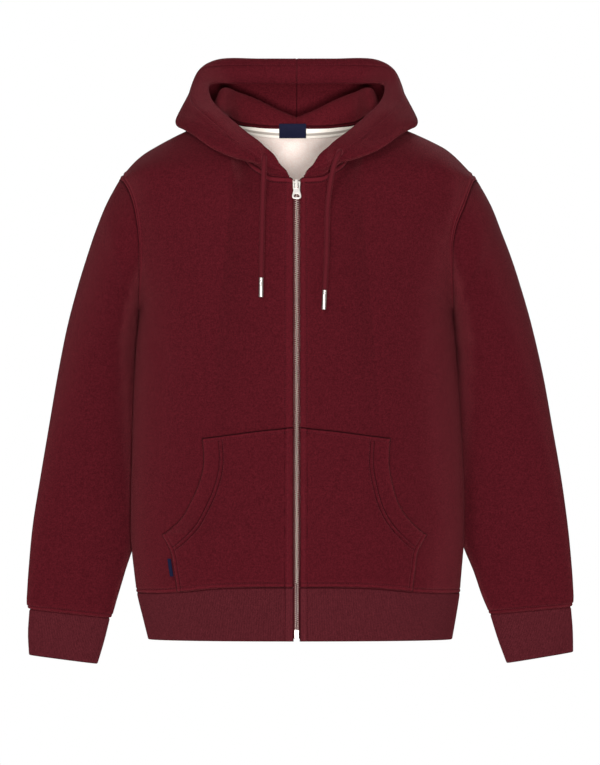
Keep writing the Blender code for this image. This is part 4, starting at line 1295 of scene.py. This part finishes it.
# The lining is painted lighter than the fleece outside, a painted light that stands in for light
# reaching deep into the hood.
LINING_DARK = (0.040, 0.0024, 0.0046)
LINING_LIGHT = (0.108, 0.0098, 0.0150)
lining_cloth = knit_material("jersey lining", LINING_DARK, LINING_LIGHT, 0.94, 0.05, 0.2 * MM)


# The eyelets that the cords come out of, across and up, whipped with thread.
EYELETS = {"left": (-43.5, -41.0), "right": (57.8, -32.6)}
EYELET_RADIUS = 4.1 * MM
EYELET_WIDTH = 0.8 * MM
EYELET_STEPS = 145
EYELET_STITCHES = 24
EYELET_UNEVEN = 0.12
EYELET_SIDES = 10


def hood_half(side):
    """The hood's outer cloth: rows from the neckline to the face edge."""
    sections = np.linspace(0, len(HOOD) - 1, HOOD_COLUMNS)
    neck = by_number(NECKLINE, sections + 1) + (0, 0, HOOD_LIFT)
    guides = by_number(HOOD, sections)
    lines = np.concatenate([neck[:, None], guides], axis=1).transpose(1, 0, 2)
    return (curve_of(lines, HOOD_ROWS) * (side, 1, 1))[:, ::side]


def curled(grid):
    """The grid with its last rows rolled inwards round the lining's edge."""
    edge = grid[-1]
    radius = np.minimum(CURL_RADIUS, CURL_SHARE * lengths_along(grid.transpose(1, 0, 2))[:, -1:])
    normals = grid_normals(grid)[-1]
    way = unit(edge - grid[-2])
    rows = []
    for step in range(1, CURL_STEPS + 1):
        angle = math.pi * step / CURL_STEPS
        rows.append(edge + radius * (math.sin(angle) * way - (1 - math.cos(angle)) * normals))
    return np.concatenate([grid, np.array(rows)])


def on_front_of(piece, line):
    """Points and normals where a line, seen from the front, meets a piece."""
    mesh = piece.data
    tree = BVHTree.FromPolygons(
        [vertex.co for vertex in mesh.vertices], [face.vertices for face in mesh.polygons]
    )
    points, normals = [], []
    for across, up in line:
        point, normal, _, _ = tree.ray_cast(Vector((across, -1, up)), Vector((0, 1, 0)))
        if point is not None:
            points.append(point)
            normals.append(normal)
    return np.array(points), np.array(normals)


hood_threads = []
hood_outsides = {}
for side in (-1, 1):
    name = side_name(side)
    half = hood_half(side)
    middle, front_end = ("first", "last") if side < 0 else ("last", "first")
    face_seams = [(FACE_EDGE, None)]
    grid, heights = panel(
        half, HOOD_STEP, plain_seams, face_seams, creases=HOOD_CREASES, **{middle: plain_seams}
    )
    hood_threads.append(seam_line(grid, heights, "top", face_seams, TUNNEL_STITCH))
    outer = cloth_piece(
        f"hood_{name}", f"hood_outer_{name}", curled(grid), FLEECE_WALL, [fleece] * 2,
        np.pad(heights, ((0, CURL_STEPS), (0, 0))), counted=(-1, 0 if side < 0 else -1),
    )
    hood_outsides[name] = outer
    seam_ridge(f"neck_seam_{name}", half[0] - (0, 0, HOOD_LIFT / 2), half[0] * (1, 1, 0))

    inside = half - (FLEECE_WALL + LINING_GAP + LINING_WALL) * grid_normals(half)
    behind = (np.abs(half[0, :, 0]) > LINING_FRONT) | (half[0, :, 1] > 0)
    grid, heights = panel(
        inside[:, behind][:, ::-1], LINING_STEP, plain_seams, [(LINING_EDGE, None)],
        creases=LINING_CREASES, **{front_end: plain_seams},
    )
    lining = cloth_piece(
        f"hood_inside_{name}", f"hood_lining_{name}", grid, LINING_WALL,
        [lining_cloth] * 2, heights, counted=(-1, -1 if side < 0 else 0),
    )
stitched("hood_stitches", hood_threads)
half = hood_half(1)
seam_ridge("crown_seam", half[:, -1], grid_normals(half)[:, -1] * (0, 1, 1))

for name, spot in EYELETS.items():
    points, normals = on_front_of(hood_outsides[name], np.array([spot]) * MM)
    sideways = unit(np.cross(normals[0], (0, 0, 1.0)))
    upwards = np.cross(sideways, normals[0])
    turn = np.linspace(0, 2 * math.pi, EYELET_STEPS)[:, None]
    ring_line = points[0] + EYELET_RADIUS * (np.cos(turn) * sideways + np.sin(turn) * upwards)
    whipped = EYELET_WIDTH * (1 + EYELET_UNEVEN * np.cos(turn[:, 0] * EYELET_STITCHES))
    ring = round_tube(f"eyelet_{name}", ring_line, whipped, EYELET_SIDES, thread, out=normals[0])
    garment_piece(ring, None)


# The pockets: one panel of fleece on each front, sewn on along the zip, top, side and rib. The
# slanting hand opening is folded under and stitched down twice along its facing.
POCKET_WALL = 2.0 * MM
POCKET_SEAT = 0.9 * MM
POCKET_SWELL = 3.0 * MM
POCKET_CLEAR = 1.0 * MM
POCKET_STEP = 1.6 * MM
POCKET_COLUMNS = 90
POCKET_SIDE_ROWS = 60
POCKET_MOUTH_ROWS = 120
SWELL_POWER = 0.7  # below one, the swell is flatter in its middle
# The pocket's outer edge, below its hand opening and along it: height, then distance from the
# middle on the left pocket and on the right one.
POCKET_SIDE = np.array(
    ((-620, 160.5, 155.7), (-592, 164.8, 159.5), (-566, 169.5, 163.4), (-543, 181.8, 176))
) * MM
POCKET_MOUTH = np.array((
    (-543, 181.8, 176), (-536, 171, 165), (-520, 154, 148.5), (-502, 143.5, 137),
    (-478, 132.5, 129.5), (-450, 125.5, 124.8), (-415, 127.2, 126.5),
)) * MM
POCKET_TOP = table("across height", (0, -399.5), (55, -405), (100, -411), (130, -415))
POCKET_EDGE = seam_profile(
    (0, -1.9), (1.1, -1.3), (2.1, -0.5), (3, 0.2), (4.2, 0.4), (6.5, 0.2), (11, 0)
)
MOUTH_EDGE = seam_profile(
    (0, -1.9), (1.1, -1.3), (2.1, -0.5), (3, 0.2), (4.4, 0.35), (8, 0.05), (30, 0)
)
EDGE_STITCH = 6.8 * MM
FACING_STITCHES = (23.0 * MM, 28.0 * MM)
CHANNEL_DEPTH = 0.75 * MM
CHANNEL_HALF = 1.3 * MM
CHANNEL_POWER = 0.8


def pocket_outer(side):
    """Height and distance from the middle of the pocket's outer edge, from the rib up."""
    lower = curve_of(POCKET_SIDE, POCKET_SIDE_ROWS)
    both = np.concatenate([lower, curve_of(POCKET_MOUTH, POCKET_MOUTH_ROWS)[1:]])
    return both[:, 0], both[:, 1 if side < 0 else 2]


def pocket_grid(side):
    """Points of the front under the pocket, columns from the zip outwards."""
    name = side_name(side)
    heights, edges = pocket_outer(side)
    shares = np.linspace(0, 1, POCKET_COLUMNS)
    parts = (heights - heights[0]) / (heights[-1] - heights[0])
    across = ZIP_EDGE + (edges[:, None] - ZIP_EDGE) * shares
    top = curve_through(POCKET_TOP["across"], POCKET_TOP["height"], across)
    bottom = rib_seam_height(across) + POCKET_CLEAR
    up = bottom + (top - bottom) * parts[:, None]
    share = (across - ZIP_EDGE) / (body_at(name, up) - ZIP_EDGE)
    return lower_body(side, "front", share, up, ZIP_EDGE)


def distance_to(line, at):
    """Distance of points from a line, all seen from the front as pairs across and up."""
    nearest = np.full(at.shape[:-1], np.inf)
    for start, end in zip(line[:-1], line[1:]):
        way = end - start
        share = np.clip((at - start) @ way / (way @ way), 0, 1)
        nearest = np.minimum(nearest, np.linalg.norm(at - start - share[..., None] * way, axis=-1))
    return nearest


def beside(line, away, toward):
    """The line moved sideways by this distance, to the side where toward lies."""
    way = np.gradient(line, axis=0)
    across = unit(np.stack([-way[:, 1], way[:, 0]], axis=-1))
    across *= np.sign(np.sum(across * (toward - line), axis=1, keepdims=True))
    return line + away * across


pocket_threads = []
for side in (-1, 1):
    name = side_name(side)
    base = pocket_grid(side)
    flat_base = base[..., [0, 2]]
    table_heights = pocket_outer(side)[0]
    mouth = flat_base[table_heights >= POCKET_MOUTH[0, 0] - 1e-9, -1]
    hand_side = flat_base[table_heights <= POCKET_MOUTH[0, 0] + 1e-9, -1]
    top, bottom, zip_side = flat_base[-1], flat_base[0], flat_base[:, 0]
    grid = panel(base[:, ::side], POCKET_STEP)[0]
    at = grid[..., [0, 2]]
    from_mouth, from_side, from_top, from_bottom, from_zip = (
        distance_to(line, at) for line in (mouth, hand_side, top, bottom, zip_side)
    )
    heights = np.interp(from_mouth, MOUTH_EDGE["away"], MOUTH_EDGE["height"])
    for away, edge in (
        (from_side, POCKET_EDGE), (from_top, POCKET_EDGE), (from_bottom, STITCHED_SEAM),
        (from_zip, ZIP_FOLDS[name]),
    ):
        near = np.interp(away, edge["away"], edge["height"])
        heights = np.where(near < 0, np.minimum(heights, near), heights + near)
    facing = (from_side > EDGE_STITCH) & (from_top > EDGE_STITCH)
    channels = [(away, EDGE_STITCH, from_mouth > 0) for away in (from_top, from_side)]
    channels += [(from_mouth, away, facing) for away in FACING_STITCHES]
    for away, wanted, holds in channels:
        gap = np.abs(away - wanted) / CHANNEL_HALF
        heights -= CHANNEL_DEPTH * np.clip(1 - gap, 0, 1) ** CHANNEL_POWER * holds

    rise, run = (
        np.sin(np.linspace(0, 1, count) * math.pi) ** SWELL_POWER for count in grid.shape[:2]
    )
    swell = POCKET_SWELL * rise[:, None] * run
    grid = creased(grid, FRONT_CREASES)
    grid = grid + grid_normals(grid) * (POCKET_SEAT + POCKET_WALL + swell)[..., None]
    pocket = cloth_piece(
        f"pocket_panel_{name}", f"pocket_{name}", grid, POCKET_WALL, [fleece] * 2,
        heights, folded=("top", "first", "last"),
    )
    middle = at.reshape(-1, 2).mean(axis=0)
    stitch_lines = [beside(line, away, middle) for line, away in (
        (top, EDGE_STITCH), (hand_side, EDGE_STITCH), (zip_side, ZIP_STITCH[name] - ZIP_EDGE),
        (bottom, RIB_STITCH),
    )]
    for away in FACING_STITCHES:
        line = beside(mouth, away, middle)
        inside = distance_to(hand_side, line) > EDGE_STITCH
        inside &= distance_to(top, line) > EDGE_STITCH
        inside &= line[:, 1] < top[:, 1].max()
        stitch_lines.append(line[inside])
    for line in stitch_lines:
        points, normals = on_front_of(pocket, line)
        if len(points) > 3:
            pocket_threads.append((points, normals))
stitched("pocket_stitches", pocket_threads)


# The side tab and the neck label: bare navy ribbon. The tab is folded double and caught in the
# left pocket's side seam, and the label hangs over the neck tape, sewn along its top.
NAVY_DARK = (0.0030, 0.0034, 0.0115)
NAVY_LIGHT = (0.0085, 0.0095, 0.0300)
TAB_MIDDLE = -589 * MM
TAB_LENGTH = 24 * MM
TAB_WIDTH = 4.4 * MM
TAB_WALL = 0.4 * MM
TAB_CLEAR = 1.0 * MM
TAB_OUT = 2.2 * MM
TAB_ROWS = 14
TAB_LAYER = 10  # columns of points on each of its two layers
TAB_FOLD = 0.93  # the share of its width where the layers turn over into the fold
TAB_APART = 2.4  # distance between the layers, in walls
LABEL_ROWS = 20
LABEL_COLUMNS = 30
LABEL = table("height depth", (-9.4, 69.2), (-1.4, 66.2), (5.6, 64.9), (10.6, 65.6))
LABEL_ENDS = (-24 * MM, 13 * MM)
LABEL_WALL = 0.7 * MM
LABEL_WAVE = 0.5 * MM

ribbon_group, ribbon_in, ribbon_out = new_group(
    "woven ribbon", {"Yarn": 0.35}, ("Height", "Shade")
)
work = partial(maths, ribbon_group)
across, along, places = cloth_places(ribbon_group)
yarn = work("MULTIPLY", ribbon_in.outputs["Yarn"], MM)
warp, weft = (
    work("SINE", work("MULTIPLY", work("DIVIDE", way, yarn), math.pi)) for way in (across, along)
)
woven = work("MULTIPLY_ADD", work("MULTIPLY", warp, weft), 0.5, 0.5)
worn = noise(ribbon_group, 260, 3, where=places)
shade = work("MULTIPLY_ADD", woven, 0.4, work("MULTIPLY", worn, 0.6))
ribbon_group.links.new(woven, ribbon_out.inputs["Height"])
ribbon_group.links.new(shade, ribbon_out.inputs["Shade"])


def ribbon_material(name, dark, light, roughness, yarn):
    material, tree, shader = new_material(name, roughness, gloss=CLOTH_GLOSS)
    ribbon = use_group(tree, ribbon_group, Yarn=yarn)
    tint(tree, shader, ribbon.outputs["Shade"], dark, light)
    bump(tree, shader, ribbon.outputs["Height"], 0.08 * MM)
    return material


navy = ribbon_material("navy ribbon", NAVY_DARK, NAVY_LIGHT, 0.55, 0.3)

tab_rows = TAB_MIDDLE + TAB_LENGTH * np.linspace(-0.5, 0.5, TAB_ROWS)
tab_heights, tab_edges = pocket_outer(-1)
tab_edge = np.interp(tab_rows, tab_heights, tab_edges) + TAB_CLEAR
layer = np.linspace(0, TAB_FOLD, TAB_LAYER)
reach = np.concatenate([layer, [1.0], layer[::-1]])
lift = np.concatenate([0 * layer, [0.5], 0 * layer + 1])
tab = []
for up, edge in zip(tab_rows, tab_edge):
    across = edge + TAB_WIDTH * reach
    share = (across - ZIP_EDGE) / (body_at("left", up) - ZIP_EDGE)
    tab.append(lower_body(-1, "front", share, np.full(len(across), up), ZIP_EDGE))
tab = np.array(tab)
out = grid_normals(tab[:, :TAB_LAYER][:, ::-1])[:, :1].mean(axis=0)
tab = (tab + out * (TAB_OUT - (1 - lift)[:, None] * TAB_APART * TAB_WALL))[:, ::-1]
side_tab = cloth_piece("side_ribbon", "side_tab", tab, TAB_WALL, [navy] * 2)

across = np.linspace(*LABEL_ENDS, LABEL_COLUMNS)
height = np.linspace(LABEL["height"][0], LABEL["height"][-1], LABEL_ROWS)
depth = curve_through(LABEL["height"], LABEL["depth"], height)
label = np.array([[(x, y, z) for x in across] for y, z in zip(depth, height)])
wave = np.sin(np.linspace(3 * math.pi, 0, LABEL_COLUMNS))
label[:, :, 1] -= LABEL_WAVE * wave * np.linspace(1, 0, LABEL_ROWS)[:, None]
neck_label = cloth_piece(
    "neck_ribbon", "neck_label", label, LABEL_WALL, [navy] * 2
)


# The neck tape: a cream woven tape with a grey stripe, which covers the seam of the hood inside
# the back of the neck.
TAPE_WIDTH = 11.5 * MM
TAPE_BELOW = 0.5 * MM
TAPE_WALL = 0.8 * MM
TAPE_CLEAR = 0.9 * MM
TAPE_ROWS = 8
TAPE_ENDS = 1.5 * MM  # from the shoulder seams
STRIPE_LOW = 0.30
STRIPE_HIGH = 0.62
STRIPE_SOFT = 0.06
CREAM_DARK = (0.70, 0.62, 0.54)
CREAM_LIGHT = (0.93, 0.88, 0.81)
GREY = (0.36, 0.32, 0.28)

neck_cloth, tree, shader = new_material("striped neck tape", 0.8, gloss=0.3)
ribbon = use_group(tree, ribbon_group, Yarn=0.5)
up = maths(tree, "DIVIDE", cloth_places(tree)[1], TAPE_WIDTH)
low = ramp(tree, up, STRIPE_LOW, STRIPE_LOW + STRIPE_SOFT)
high = ramp(tree, up, STRIPE_HIGH + STRIPE_SOFT, STRIPE_HIGH)
stripe = maths(tree, "MULTIPLY", low, high)
cream = blend_colours(tree, ribbon.outputs["Shade"], CREAM_DARK, CREAM_LIGHT)
striped = blend_colours(tree, stripe, cream, GREY)
tree.links.new(striped, shader.inputs["Base Color"])
bump(tree, shader, ribbon.outputs["Height"], 0.12 * MM)

columns = np.abs(back_top[:, 0]) < NECKLINE[NECK_POINT, 0] - TAPE_ENDS
lines, ways = (
    a[::-1, columns].transpose(1, 0, 2) for a in (back_base, grid_normals(back_base))
)
below = np.linspace(TAPE_BELOW + TAPE_WIDTH, TAPE_BELOW, TAPE_ROWS)
tape = np.array([
    at_lengths(below, run, line) - (FLEECE_WALL + TAPE_CLEAR) * at_lengths(below, run, way)
    for run, line, way in zip(lengths_along(lines), lines, ways)
]).transpose(1, 0, 2)
neck_tape = cloth_piece(
    "neck_trim", "neck_tape", tape, TAPE_WALL, [neck_cloth] * 2
)


# The zip: woven tapes behind the edges of the fronts, two rows of metal teeth that lock along
# the middle, and the box at the foot that the free side is pushed into.
ZIP_TAPE_WALL = 0.9 * MM
ZIP_TAPE_ROWS = 120
TAPE_TOP = -76 * MM
TAPE_BOTTOM = -684 * MM
# The tape's edge is beaded: how far forward it comes at each distance from the middle.
TAPE_BEAD = table(
    "across forward", (0.25, 1.1), (1.2, 1.3), (2, 1.8), (2.8, 1.95), (3.3, 1.6), (3.7, 0.9),
    (4.3, 0.2), (5.2, 0), (9, 0), (14, 0), (18.9, 0),
)
CHAIN_TOP = -84 * MM
CHAIN_BOTTOM = -671.5 * MM
CHAIN_HALF = 2.45 * MM
CHAIN_SUNK = 0.2 * MM
CHAIN_THICK = 2.2 * MM
TOOTH_PITCH = 2.84 * MM
TOOTH_HEIGHT = 1.0 * MM
TOOTH_REACH = 0.1 * MM  # past the middle
# The head of a tooth, as shares of its root's depth and height.
HEAD_DEEP = 0.86
HEAD_HIGH = 0.62
METAL_ROUND = 0.28 * MM
TAPE_DARK = (0.028, 0.0025, 0.0040)
TAPE_LIGHT = (0.062, 0.0065, 0.0100)
TEETH_DARK = (0.17, 0.125, 0.11)
TEETH_LIGHT = (0.54, 0.43, 0.39)

zip_cloth = ribbon_material("zip tape", TAPE_DARK, TAPE_LIGHT, 0.8, 0.6)
for side in (-1, 1):
    name = side_name(side)
    heights = np.linspace(TAPE_BOTTOM, TAPE_TOP, ZIP_TAPE_ROWS)
    depth = -body_at("front", heights) + RIB_WALL + 2 * SEAM_GAP
    bead = np.stack([side * TAPE_BEAD["across"], TAPE_BEAD["forward"]], axis=-1)[::side]
    strip = np.array([[(x, y - f, z) for x, f in bead] for y, z in zip(depth, heights)])
    piece = cloth_piece(
        f"zip_ribbon_{name}", f"zip_tape_{name}", strip, ZIP_TAPE_WALL,
        [zip_cloth] * 2,
    )

# Plated metal is a little duller and darker in small spots.
metal_material = partial(
    spotted_material, grain=(600.0, 3.0, 0.6), depth=0.02 * MM, metallic=1.0
)
teeth_metal = metal_material("zip teeth", TEETH_DARK, TEETH_LIGHT, 0.38)


def tooth_mesh():
    """One tooth: a rounded bar that narrows to the head which locks between its neighbours."""
    bm = bmesh.new()
    bmesh.ops.create_cube(bm, size=1)
    length = CHAIN_HALF + TOOTH_REACH
    bmesh.ops.scale(bm, vec=(length, CHAIN_THICK, TOOTH_HEIGHT), verts=bm.verts)
    bmesh.ops.translate(bm, vec=(length / 2 - CHAIN_HALF, 0, 0), verts=bm.verts)
    for vertex in bm.verts:
        if vertex.co.x > 0:
            vertex.co.z *= HEAD_HIGH
            vertex.co.y *= HEAD_DEEP
    bmesh.ops.bevel(
        bm, geom=bm.edges[:], offset=METAL_ROUND, segments=2, profile=0.5, affect="EDGES"
    )
    bmesh.ops.triangulate(bm, faces=bm.faces[:])
    bm.verts.index_update()
    points = np.array([vertex.co[:] for vertex in bm.verts])
    faces = np.array([[vertex.index for vertex in face.verts] for face in bm.faces])
    bm.free()
    return points, faces


tooth_points, tooth_faces = tooth_mesh()
teeth = []
all_faces = []
count = int((CHAIN_TOP - CHAIN_BOTTOM) / TOOTH_PITCH)
for side in (-1, 1):
    turned_faces = tooth_faces[:, ::-side]
    for number in range(count):
        up = CHAIN_BOTTOM + TOOTH_HEIGHT / 2 + number * TOOTH_PITCH
        up += TOOTH_PITCH / 2 if side > 0 else 0
        depth = -float(body_at("front", up)) + CHAIN_SUNK + CHAIN_THICK / 2
        all_faces.append(turned_faces + len(teeth) * len(tooth_points))
        teeth.append(tooth_points * (-side, 1, 1) + (0, depth, up))
chain = make_piece(
    "zip_teeth", np.concatenate(teeth), np.concatenate(all_faces).tolist(), [teeth_metal], sharp=35
)
garment_piece(chain, "zip_chain")


# The slider, its pull and the foot box: cast metal, plated bright. The pull turns on the
# slider's bridge, so it rides on its own body.
BRIGHT_DARK = (0.76, 0.70, 0.65)
BRIGHT_LIGHT = (0.97, 0.92, 0.87)
# The slider is painted darker everywhere but on the front of its bridge: a painted shade on its
# faces that are set back or turn away from the front.
SLIDER_SHADE_DARK = (0.10, 0.075, 0.068)
SLIDER_SHADE_LIGHT = (0.26, 0.21, 0.19)
BRIDGE_DEPTH = 0.3 * MM
FACING_FRONT = -0.9
SLIDER_EDGE = 0.35 * MM
FOOT_EDGE = 0.2 * MM
HINGE_HEIGHT = -72.7 * MM
HINGE_OUT = 3.9 * MM  # in front of the fronts
LEAN_FROM = -80.7 * MM
LEAN_TO = -69.7 * MM
PULL_THICK = 1.2 * MM
PULL_EDGE = 0.28 * MM
# Half outlines of the pull, of its eye and of its window, across and up from the hinge line.
PULL_OUTLINE = (
    (0, 1), (3.4, 0.95), (4.8, 0.2), (4.95, -1.6), (4.7, -4.7), (4.25, -9.8), (4.5, -13.1),
    (5.2, -16.4), (5.95, -19.2), (6.1, -21.1), (5.7, -23), (4.5, -24.2), (2.6, -24.6), (0, -24.7),
)
PULL_EYE = ((0, -0.8), (1.9, -0.8), (2.6, -1.5), (2.6, -9.5), (1.7, -10.4), (0, -10.4))
PULL_WINDOW = (
    (0, -17.2), (1.4, -17.5), (2.8, -18.6), (3.7, -20.3), (3.8, -21.6), (3.1, -22.3), (0, -22.4),
)
bright = metal_material("bright plate", BRIGHT_DARK, BRIGHT_LIGHT, 0.4)


def cast_copy(node, name, width):
    """A node's shape again, with its edges rounded as on a casting."""
    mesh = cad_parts[node].data.copy()
    mesh.materials.clear()
    mesh.materials.append(bright)
    bm = bmesh.new()
    bm.from_mesh(mesh)
    bmesh.ops.remove_doubles(bm, verts=bm.verts, dist=0.001 * MM)
    bmesh.ops.dissolve_limit(
        bm, angle_limit=math.radians(2), verts=bm.verts, edges=bm.edges, delimit={"NORMAL"}
    )
    bm.to_mesh(mesh)
    bm.free()
    mesh.shade_smooth()
    made = placed(name, mesh)
    edge = made.modifiers.new("edge", "BEVEL")
    edge.width = width
    edge.segments = 3
    edge.limit_method = "ANGLE"
    edge.angle_limit = math.radians(25)
    edge.harden_normals = True
    return made


slider = cast_copy("zip_slider", "slider_body", SLIDER_EDGE)
slider.data.materials.append(metal_material("worn plate", SLIDER_SHADE_DARK, SLIDER_SHADE_LIGHT, 0.36))
bridge_front = -float(body_at("front", HINGE_HEIGHT)) - HINGE_OUT - BRIDGE_DEPTH
# Faces set back behind the bridge's front or turned from the front take the darker plate, a painted
# shade.
for face in slider.data.polygons:
    face.material_index = int(face.center.y > bridge_front or face.normal.y > FACING_FRONT)
garment_piece(slider, "zip_slider")
garment_piece(cast_copy("zip_box", "foot_box", FOOT_EDGE), "zip_box")


def ring_of(half, smooth):
    """The closed outline that a half outline makes with its mirror image."""
    half = np.array(half) * MM
    if smooth:
        half = curve_of(half, 8 * len(half))
    return np.concatenate([half, half[-2:0:-1] * (-1, 1)])


# The pull's plate is stamped from its outlines, with its edges rounded.
plate = bpy.data.curves.new("pull_plate", "CURVE")
plate.dimensions = "2D"
plate.fill_mode = "BOTH"
plate.bevel_depth = PULL_EDGE
plate.bevel_resolution = 3
plate.offset = -PULL_EDGE
plate.extrude = PULL_THICK / 2 - PULL_EDGE
for half, smooth in ((PULL_OUTLINE, True), (PULL_EYE, False), (PULL_WINDOW, True)):
    loop = ring_of(half, smooth)
    spline = plate.splines.new("POLY")
    spline.points.add(len(loop) - 1)
    spline.points.foreach_set("co", np.pad(loop, ((0, 0), (0, 2))).astype(np.float32).ravel())
    spline.use_cyclic_u = True
stamp = bpy.data.objects.new("pull_plate", plate)
pull_mesh = bpy.data.meshes.new_from_object(stamp)
bpy.data.objects.remove(stamp)
lean = math.atan2(body_at("front", LEAN_FROM) - body_at("front", LEAN_TO), LEAN_TO - LEAN_FROM)
pull_mesh.transform(Matrix.Rotation(math.radians(90) - lean, 4, "X"))
pull_mesh.transform(
    Matrix.Translation((0, -float(body_at("front", HINGE_HEIGHT)) - HINGE_OUT, HINGE_HEIGHT))
)
pull_mesh.materials.clear()
pull_mesh.materials.append(bright)
pull_mesh.shade_smooth()
pull_mesh.set_sharp_from_angle(angle=math.radians(50))
pull = placed("pull_tab", pull_mesh)
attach(pull, "pull")
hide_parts("zip_pull")


# A pale floor under the garment, which isn't part of it.
floor_paint, tree, shader = new_material("pale floor", 0.8)
tint(tree, shader, noise(tree, 6, 3), FLOOR_DARK, FLOOR_LIGHT)
half = FLOOR_SIZE / 2
corners = ((-half, -half, 0), (half, -half, 0), (half, half, 0), (-half, half, 0))
floor = make_piece("floor", corners, [[0, 1, 2, 3]], [floor_paint])
floor.location = (0, 0, FLOOR_HEIGHT)
